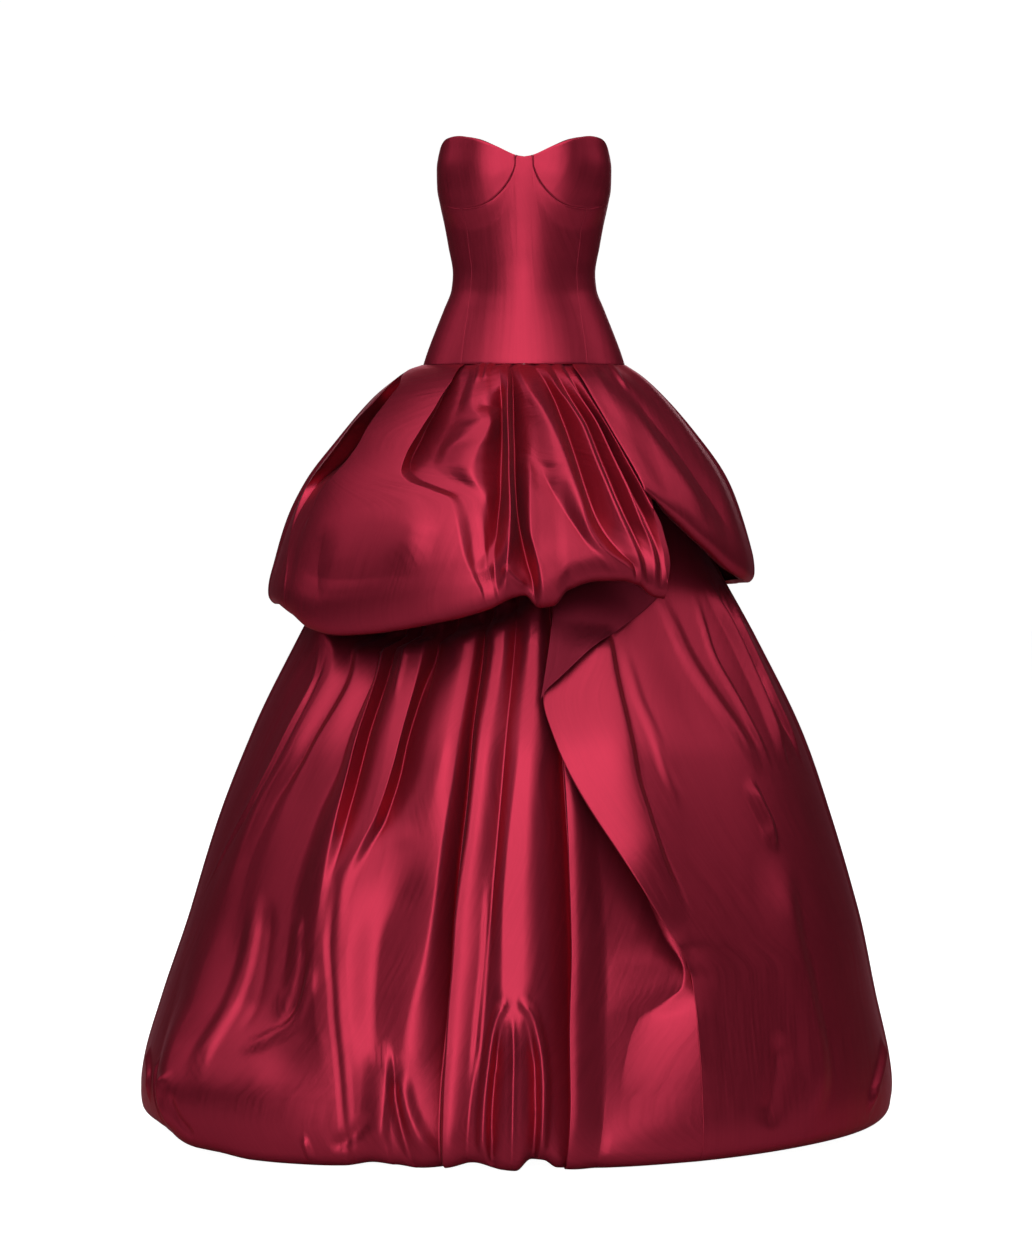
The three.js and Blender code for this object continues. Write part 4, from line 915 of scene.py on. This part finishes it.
FRONT_DRAPE_CREASES = [  # as the skirt's
    # The deep pocket at the wearer's right, between two rims.
    (0.4, [(403, 366, 1), (380, 400, 6), (356, 427, 8), (333, 458, 8), (311, 488, 7), (294, 530, 4),
           (286, 580, 2), (283, 620, 0)]),
    (1, [(403, 366, -2), (374, 400, -26), (350, 427, -34), (328, 458, -30), (311, 488, -6), (295, 530, 3),
         (287, 580, 1), (284, 620, 0)]),
    (1, [(412, 366, -4), (440, 400, -48), (430, 427, -56), (406, 455, -50), (360, 478, -26),
         (320, 500, -3), (300, 535, 1), (291, 580, 0), (288, 620, 0)]),
    (0.3, [(414, 366, 2), (403, 388, 9), (391, 405, 12), (376, 427, 14), (366, 445, 14), (353, 462, 13),
           (337, 478, 10), (321, 496, 6), (304, 540, 2), (296, 580, 0), (293, 620, 0)]),
    # The large pleat. Its edge lies over the recess, hooks round the recess's lower end, and runs on down
    # as one arm of a V.
    (0.3, [(462, 358, 1), (460, 370, 5), (452, 385, 8), (440, 405, 10), (425, 430, 12), (412, 452, 12),
           (405, 471, 11), (409, 480, 10), (430, 489, 9), (450, 498, 9), (456, 511, 9), (460, 532, 9),
           (465, 555, 9), (473, 576, 7), (480, 592, 3), (484, 615, 0)]),
    (1, [(458, 358, -2), (453, 370, -8), (443, 385, -15), (430, 405, -21), (414, 430, -26),
         (404, 452, -24), (404, 468, -14), (417, 479, -7), (440, 488, -5), (459, 497, -3), (466, 511, -3),
         (470, 532, -4), (473, 555, -3), (478, 576, 1), (484, 592, 1), (488, 615, 0)]),
    # The crumpled cloth in the recess, and the dark plane beside it.
    (1, [(468, 358, 0), (464, 378, -9), (454, 402, -15), (440, 430, -20), (430, 450, -20),
         (427, 465, -14), (436, 475, -10), (454, 485, -7), (467, 497, -6), (472, 511, -6), (476, 532, -7),
         (479, 555, -5), (482, 576, -1), (487, 592, 1), (491, 615, 0)]),
    (0.5, [(478, 358, 2), (476, 380, 2), (473, 406, 3), (482, 420, 6), (466, 436, 3), (448, 449, -5),
           (442, 463, -7), (448, 475, -7), (462, 485, -6), (474, 497, -7), (479, 511, -8), (482, 532, -9),
           (484, 555, -6), (486, 576, -2), (490, 592, 1), (494, 615, 0)]),
    (1, [(486, 358, 1), (485, 385, 1), (486, 408, 1), (490, 421, 5), (484, 437, 7), (476, 450, 9),
         (471, 464, 7), (472, 476, 2), (477, 486, -4), (484, 497, -9), (486, 511, -14), (487, 532, -16),
         (488, 555, -12), (490, 576, -3), (493, 592, 1), (497, 615, 0)]),
    (0.5, [(499, 358, -1), (499, 385, -14), (499, 400, -24), (499, 440, -38), (498, 480, -40),
           (497, 505, -36), (495, 530, -28), (493, 552, -18), (494, 574, -6), (497, 592, 0),
           (500, 615, 0)]),
    # The thin fold down the middle, and the dark plane beside it.
    (0.5, [(508, 358, 2), (508, 385, 5), (508, 420, 6), (509, 470, 7), (510, 520, 8), (509, 545, 8),
           (507, 565, 7), (505, 580, 5), (504, 598, 1), (504, 612, 0)]),
    (0.3, [(511, 358, -3), (512, 385, -18), (512, 405, -34), (512, 430, -45), (513, 455, -47),
           (514, 480, -44), (518, 520, -34), (523, 545, -25), (528, 565, -17), (533, 582, -11),
           (536, 606, -6)]),
    # The bright three-cornered plane.
    (0.4, [(513, 358, -1), (517, 386, -8), (523, 408, -15), (527, 430, -20), (531, 455, -18),
           (531, 472, -5), (530, 490, 4), (530, 530, 8), (535, 552, 9), (541, 578, 7), (544, 606, 1)]),
    (0.5, [(515, 358, 0), (521, 386, 0), (531, 408, -2), (536, 430, -8), (538, 457, -12), (542, 470, -11),
           (552, 490, -9), (564, 510, -7), (577, 530, -3), (588, 547, 1), (600, 560, 3), (612, 572, 3),
           (622, 588, 0)]),
    # The pleats that sweep to the wearer's left, under the side lobe.
    (0.8, [(517, 358, 2), (527, 386, 8), (540, 408, 12), (550, 428, 13), (560, 452, 14), (569, 477, 14),
           (577, 499, 14), (586, 528, 12), (600, 548, 9), (618, 562, 6), (632, 572, 3), (636, 590, 0)]),
    (0.4, [(530, 358, -3), (546, 380, -14), (558, 400, -22), (566, 417, -27), (572, 430, -30),
           (579, 449, -31), (589, 480, -30), (599, 511, -26), (608, 532, -18), (622, 552, -8),
           (635, 566, -2), (640, 588, 0)]),
    (0.5, [(544, 362, 2), (556, 388, 6), (566, 402, 8), (581, 427, 9), (593, 458, 9), (606, 489, 9),
           (618, 517, 9), (630, 542, 8), (637, 558, 6), (641, 572, 3), (645, 588, 0)]),
    (0.2, [(551, 362, -3), (567, 388, -14), (577, 402, -19), (594, 427, -24), (607, 458, -26),
           (620, 489, -26), (632, 517, -23), (643, 542, -17), (649, 560, -9), (651, 575, -3),
           (652, 588, 0)]),
    (0.3, [(558, 362, 2), (577, 394, 5), (597, 425, 7), (611, 456, 7), (628, 492, 7), (641, 520, 6),
           (653, 544, 5), (658, 562, 3), (659, 588, 0)]),
    (0.2, [(564, 362, -3), (587, 397, -17), (609, 430, -22), (626, 462, -24), (644, 494, -26),
           (657, 520, -24), (665, 548, -14), (666, 575, -4), (665, 590, 0)]),
    (0.4, [(571, 362, 1), (592, 398, 3), (615, 437, 4), (633, 468, 3), (652, 500, 0), (667, 528, -2),
           (673, 555, 0), (671, 590, 0)]),
]
FRONT_DRAPE_FOLDS = [
    # Small creases below the seam.
    dict(rise=-5, left=15, right=17, path=[(476, 402), (492, 404), (508, 408)]),
    dict(rise=4, left=14, right=12, path=[(498, 364), (499, 378), (500, 394)]),
    dict(rise=3, left=6, right=6, path=[(480, 361), (480, 372), (477, 384)]),
    dict(rise=3, left=6, right=6, path=[(488, 361), (487, 370), (485, 380)]),
    # The V's other arm, and the fan where the middle fold meets the hem.
    dict(rise=7, left=18, right=20, fade=(0.25, 0.25),
         path=[(509, 520), (505, 540), (497, 555), (487, 568), (477, 580)]),
    dict(rise=5, left=9, right=9, path=[(503, 564), (514, 578), (528, 588)]),
    # Soft light and shade on the big bubble.
    dict(rise=5, left=50, right=40, fade=(0.4, 0.5),
         path=[(434, 505), (420, 522), (412, 540), (405, 580)]),
    dict(rise=-4, left=60, right=60, fade=(0.4, 0.4), path=[(330, 520), (318, 560), (322, 610)]),
]
SIDE_LOBE_FOLDS = [
    dict(rise=4, left=40, right=30,
         path=[(596, 376), (622, 404), (646, 436), (668, 466), (688, 496), (706, 526)]),
    dict(rise=-4, left=40, right=40,
         path=[(618, 380), (645, 412), (672, 445), (695, 476), (716, 506), (734, 540)]),
    dict(rise=3, left=9, right=9, path=[(612, 362), (616, 376), (626, 392)]),
]

overskirt_body = body_form(OVERSKIRT_SECTIONS)
overskirt_down = smooth_curve(OVERSKIRT_DOWN)
overskirt_tuck = smooth_curve(OVERSKIRT_TUCK)
lobe_hem = smooth_curve(SIDE_LOBE_HEM)
lobe_lift = smooth_curve(SIDE_LOBE_LIFT)


def overskirt_rows(shown, hem):
    """Rows of an overskirt panel, close together where it springs from the seam and round the hem."""
    return np.concatenate([
        np.linspace(0, 2, shown // 6, endpoint=False),
        np.linspace(2, 7, shown, endpoint=False),
        np.linspace(7, 10, hem),
    ])


def drape_level(az, down):
    """Height on the overskirt's front at azimuths and shares of its drop."""
    return HIP_SEAM_Z - SEAM_GAP / 2 + down * (front_hem(az) - HIP_SEAM_Z)


def overskirt_panel(az, rows, hem, folds=(), lines=None, lift=0.0, tuck_share=1.0):
    """A length of the overskirt, from the hip seam to the turned hem."""
    down = overskirt_down(rows)[:, None]
    z = HIP_SEAM_Z - SEAM_GAP / 2 + down * (hem(az) - HIP_SEAM_Z)
    lift = lift - overskirt_tuck(rows)[:, None] * tuck_share + 0 * az
    if lines is not None:
        turned = 1 - 0.5 * smooth_step(OVERSKIRT_HEM_ROW - 1, OVERSKIRT_HEM_ROW + 1, rows)[:, None]
        lift = lift + gathers(az, down, lines) * turned
    return hang(overskirt_body, az, z, lift, folds)


# The front hangs a little inside the lobe that covers its far end.
drape_rows = overskirt_rows(118, 30)
drape_down = overskirt_down(drape_rows)
front_end = FRONT_END["top"] + drape_down * (FRONT_END["hem"] - FRONT_END["top"])
drape_ends = (-SIDE_SEAM, front_end[:, None])
drape_az, drape_lift = creased(overskirt_body, drape_level, drape_down, FRONT_DRAPE_CREASES, drape_ends)
lobe_side = smooth_curve([seen_at(overskirt_body, place)[::-1] for place in SIDE_LOBE_EDGE])
drape_z = drape_level(drape_az, drape_down[:, None])
past_edge = drape_az - lobe_side(drape_z)
under_lobe = -UNDER_LOBE["depth"] * smooth_step(UNDER_LOBE["from"], UNDER_LOBE["to"], past_edge)
drape_grid = overskirt_panel(
    drape_az, drape_rows, front_hem, FRONT_DRAPE_FOLDS, lift=drape_lift + under_lobe
)
overskirt_front = cloth_piece("overskirt_front", drape_grid, satin)
wear(overskirt_front, "overskirt_front")

lobe_rows = overskirt_rows(120, 30)
lobe_down = overskirt_down(lobe_rows)
lobe_z = HIP_SEAM_Z + lobe_down * (lobe_hem(SIDE_LOBE_TUCK["from"]) - HIP_SEAM_Z)
lobe_az, lobe_edge_lift = folded_edge(overskirt_body, lobe_side(lobe_z), SIDE_SEAM, lobe_z, 130)
lobe_tuck = SIDE_LOBE_TUCK["corner"] + (1 - SIDE_LOBE_TUCK["corner"]) * smooth_step(
    SIDE_LOBE_TUCK["from"], SIDE_LOBE_TUCK["to"], lobe_az
)
lobe_grid = overskirt_panel(
    lobe_az, lobe_rows, lobe_hem, SIDE_LOBE_FOLDS,
    lift=lobe_lift(lobe_az) + lobe_edge_lift, tuck_share=lobe_tuck,
)
side_lobe = cloth_piece("side_lobe", lobe_grid, satin)
wear(side_lobe, "overskirt_side")

# The two backs, gathered like the skirt's below them.
short_back_rows = overskirt_rows(80, 22)
for side, edges, hem, seed in (
    ("left", (SIDE_SEAM, CENTRE_BACK), lobe_hem, 11),
    ("right", (-CENTRE_BACK, -SIDE_SEAM), front_hem, 17),
):
    lines = uneven_gathers(*edges, count=7, seam=2, middle=9, low=5, seed=seed)
    back_az = np.linspace(*edges, 160) + 0 * short_back_rows[:, None]
    back_grid = overskirt_panel(back_az, short_back_rows, hem, lines=lines)
    back = cloth_piece(f"overskirt_back_{side}", back_grid, satin)
    wear(back, f"overskirt_back_{side}")


# Zip
# A coil zip closes the centre back: a woven tape behind the two back panels, a nylon coil in the slot
# between them, and an enamelled slider with a pull that hangs from it.
ZIP_TAPE = {"width": 24, "wall": 0.6, "behind": 3.8, "top": 118, "bottom": -122}
TAPE_DEEP = (0.11, 0.008, 0.018, 1)
TAPE_LIGHT = (0.16, 0.012, 0.028, 1)
TAPE_THREADS = 1400  # per metre
tape_rows = np.linspace(ZIP_TAPE["top"], ZIP_TAPE["bottom"], 60)[:, None]
tape_half = np.degrees(ZIP_TAPE["width"] / 2 / torso["half_width"](tape_rows))
tape_az = CENTRE_BACK + np.linspace(-1, 1, 13) * tape_half


def tape_finish():
    """Dyed twill tape: a plain dull weave."""
    tape = bpy.data.materials.new("zip tape")
    tape.use_nodes = True
    nodes, links = tape.node_tree.nodes, tape.node_tree.links
    shader = nodes["Principled BSDF"]
    shader.inputs["Roughness"].default_value = 0.8
    cloth = nodes.new("ShaderNodeUVMap")
    cloth.uv_map = "cloth"
    weave = nodes.new("ShaderNodeGroup")
    weave.node_tree = satin_weave
    weave.inputs["Threads"].default_value = TAPE_THREADS
    links.new(cloth.outputs[0], weave.inputs["Cloth"])
    tone = nodes.new("ShaderNodeMix")
    tone.data_type = "RGBA"
    tone.inputs["A"].default_value = TAPE_DEEP
    tone.inputs["B"].default_value = TAPE_LIGHT
    links.new(weave.outputs["Streak"], tone.inputs["Factor"])
    links.new(tone.outputs["Result"], shader.inputs["Base Color"])
    bump = nodes.new("ShaderNodeBump")
    bump.inputs["Strength"].default_value = 0.5
    bump.inputs["Distance"].default_value = 0.0002
    links.new(weave.outputs["Height"], bump.inputs["Height"])
    links.new(bump.outputs["Normal"], shader.inputs["Normal"])
    return tape


tape_grid = on_oval(torso, tape_az, tape_rows, -ZIP_TAPE["behind"])
zip_tape = cloth_piece("zip_tape_woven", tape_grid, tape_finish(), ZIP_TAPE["wall"])
wear(zip_tape, "zip_tape")

# The coil: two rows of nylon turns that hook into each other from the left and the right.
COIL = {"strand": 0.33, "half_width": 1.75, "in": 0.95, "aside": 0.5, "step": 0.86, "behind": 2.6}
COIL_ENDS = (-119, 108)  # heights


def nylon_finish():
    """Dyed nylon, a little glossy, unevenly dyed."""
    nylon = bpy.data.materials.new("zip nylon")
    nylon.use_nodes = True
    nodes, links = nylon.node_tree.nodes, nylon.node_tree.links
    shader = nodes["Principled BSDF"]
    shader.inputs["Roughness"].default_value = 0.42
    place = nodes.new("ShaderNodeTexCoord")
    dye = nodes.new("ShaderNodeTexNoise")
    dye.inputs["Scale"].default_value = 420
    links.new(place.outputs["Object"], dye.inputs["Vector"])
    tone = nodes.new("ShaderNodeMix")
    tone.data_type = "RGBA"
    tone.inputs["A"].default_value = (0.13, 0.009, 0.021, 1)
    tone.inputs["B"].default_value = (0.2, 0.015, 0.034, 1)
    links.new(dye.outputs[0], tone.inputs["Factor"])
    links.new(tone.outputs["Result"], shader.inputs["Base Color"])
    return nylon


bpy.ops.object.select_all(action="DESELECT")
bpy.ops.mesh.primitive_torus_add(
    major_segments=8, minor_segments=4,
    major_radius=COIL["half_width"] / 1000, minor_radius=COIL["strand"] / 1000,
)
coil_turn = bpy.context.object
coil_turn.name = "zip_coil"
coil_turn.data.materials.append(nylon_finish())
bpy.ops.object.mode_set(mode="EDIT")
for way in (1, -1):
    bpy.ops.mesh.select_all(action="DESELECT")
    bpy.ops.object.mode_set(mode="OBJECT")
    for vertex in coil_turn.data.vertices:
        vertex.select = vertex.co.y * way > 0.5 * COIL["half_width"] / 1000
    bpy.ops.object.mode_set(mode="EDIT")
    bpy.ops.transform.translate(value=(0, -way * COIL["in"] / 1000, 0))
bpy.ops.mesh.select_all(action="SELECT")
bpy.ops.transform.translate(value=(COIL["aside"] / 1000, 0, 0))
bpy.ops.object.mode_set(mode="OBJECT")
bpy.ops.object.shade_smooth()

coil_turns = [coil_turn]
for _ in np.arange(COIL_ENDS[0], COIL_ENDS[1], COIL["step"])[1:]:
    another = coil_turn.copy()
    another.data = coil_turn.data.copy()
    bpy.context.collection.objects.link(another)
    another.select_set(True)
    coil_turns.append(another)
for i, turn in enumerate(coil_turns):
    z = COIL_ENDS[0] + i * COIL["step"]
    place = Vector((0, torso["back"](z) - COIL["behind"], z)) / 1000
    turn.data.transform(Matrix.Translation(place) @ Matrix.Rotation(math.pi * (i % 2), 4, "Z"))
bpy.ops.object.join()
zip_coil = bpy.context.object
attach(zip_coil, "gown")


def enamel_finish():
    """Zip metal under dark red enamel, which is a little thinner in places."""
    enamel = bpy.data.materials.new("red enamel")
    enamel.use_nodes = True
    nodes, links = enamel.node_tree.nodes, enamel.node_tree.links
    shader = nodes["Principled BSDF"]
    shader.inputs["Metallic"].default_value = 0.35
    shader.inputs["Coat Weight"].default_value = 0.5
    shader.inputs["Coat Roughness"].default_value = 0.12
    place = nodes.new("ShaderNodeTexCoord")
    thin = nodes.new("ShaderNodeTexNoise")
    thin.inputs["Scale"].default_value = 700
    thin.inputs["Detail"].default_value = 3
    links.new(place.outputs["Object"], thin.inputs["Vector"])
    tone = nodes.new("ShaderNodeMix")
    tone.data_type = "RGBA"
    tone.inputs["A"].default_value = (0.12, 0.008, 0.018, 1)
    tone.inputs["B"].default_value = (0.19, 0.016, 0.034, 1)
    links.new(thin.outputs[0], tone.inputs["Factor"])
    links.new(tone.outputs["Result"], shader.inputs["Base Color"])
    gloss = nodes.new("ShaderNodeMapRange")
    gloss.inputs["To Min"].default_value = 0.26
    gloss.inputs["To Max"].default_value = 0.42
    links.new(thin.outputs[0], gloss.inputs["Value"])
    links.new(gloss.outputs["Result"], shader.inputs["Roughness"])
    return enamel


# The slider and its pull keep their solids' shape and get their enamel.
enamel = enamel_finish()
for name in ("zip_slider", "zip_pull"):
    for material_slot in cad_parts[name].material_slots:
        material_slot.material = enamel

# Studio
# A pale seamless floor and backdrop, large soft lights by the camera and above it, and weaker ones round
# the gown. The camera stands where the photograph's did. Places and sizes are in metres.
FLOOR_Z = -1.2315
FLOOR_SIZE = 44
BACKDROP_Y = 18
PAPER_GLOW = 0.98


def paper_finish():
    """White seamless paper, lit for the camera and duller in the cloth's reflections."""
    paper = bpy.data.materials.new("white paper")
    paper.use_nodes = True
    nodes, links = paper.node_tree.nodes, paper.node_tree.links
    shader = nodes["Principled BSDF"]
    shader.inputs["Base Color"].default_value = (0.42, 0.42, 0.42, 1)
    shader.inputs["Roughness"].default_value = 0.9
    shader.inputs["Emission Color"].default_value = (1, 1, 1, 1)
    seen = nodes.new("ShaderNodeLightPath")
    glow = nodes.new("ShaderNodeMath")
    glow.operation = "MULTIPLY"
    glow.inputs[1].default_value = PAPER_GLOW
    links.new(seen.outputs["Is Camera Ray"], glow.inputs[0])
    links.new(glow.outputs[0], shader.inputs["Emission Strength"])
    return paper


bpy.ops.object.select_all(action="DESELECT")
paper = paper_finish()
bpy.ops.mesh.primitive_plane_add(size=FLOOR_SIZE, location=(0, 0, FLOOR_Z))
floor = bpy.context.object
floor.name = "paper_floor"
floor.data.materials.append(paper)
backdrop_place = (0, BACKDROP_Y, FLOOR_Z + FLOOR_SIZE / 2)
bpy.ops.mesh.primitive_plane_add(size=FLOOR_SIZE, location=backdrop_place, rotation=(math.pi / 2, 0, 0))
backdrop = bpy.context.object
backdrop.name = "paper_backdrop"
backdrop.data.materials.append(paper)

GOWN_MIDDLE = Vector((0, 0, -0.45))
SOFT_LIGHTS = [  # name, place, width, height, watts
    ("front_softbox", (-0.4, -6.5, 2.5), 5.5, 5.8, 224),
    ("low_softbox", (-0.25, -6.4, -0.35), 2.8, 1.7, 66),
    ("left_softbox", (-4.4, 0.4, 2.2), 3.0, 3.0, 31),
    ("right_softbox", (4.4, 0.2, 2.4), 3.0, 3.0, 34),
    ("top_softbox", (-0.2, -1.8, 3.5), 8.0, 6.6, 300),
    ("back_softbox", (0.2, 6.5, 1.6), 3.5, 3.5, 60),
]
for name, place, width, height, watts in SOFT_LIGHTS:
    light = bpy.data.lights.new(name, "AREA")
    light.shape = "RECTANGLE"
    light.size = width
    light.size_y = height
    light.energy = watts
    lamp = bpy.data.objects.new(name, light)
    lamp.location = place
    lamp.rotation_euler = (GOWN_MIDDLE - lamp.location).to_track_quat("-Z", "Y").to_euler()
    bpy.context.collection.objects.link(lamp)

# Beyond the paper the room is as white to the camera, and nearly dark in the cloth's reflections.
ROOM_GLOW = 0.02
room = bpy.data.worlds.new("studio")
room.use_nodes = True
room_nodes, room_links = room.node_tree.nodes, room.node_tree.links
seen_directly = room_nodes.new("ShaderNodeLightPath")
room_light = room_nodes.new("ShaderNodeMath")
room_light.operation = "MAXIMUM"
room_light.inputs[1].default_value = ROOM_GLOW
room_links.new(seen_directly.outputs["Is Camera Ray"], room_light.inputs[0])
room_nodes["Background"].inputs["Color"].default_value = (1, 1, 1, 1)
room_links.new(room_light.outputs[0], room_nodes["Background"].inputs["Strength"])
bpy.context.scene.world = room
bpy.context.scene.view_settings.view_transform = "Standard"

CAMERA_PLACE = Vector((-0.0116, -7.25, -0.225))
CAMERA_AIM = Vector((-0.0116, 0, -0.5133))
camera = bpy.data.objects.new("camera", bpy.data.cameras.new("camera"))
camera.data.lens = 143.2
camera.location = CAMERA_PLACE
camera.rotation_euler = (CAMERA_AIM - CAMERA_PLACE).to_track_quat("-Z", "Y").to_euler()
bpy.context.collection.objects.link(camera)
bpy.context.scene.camera = camera
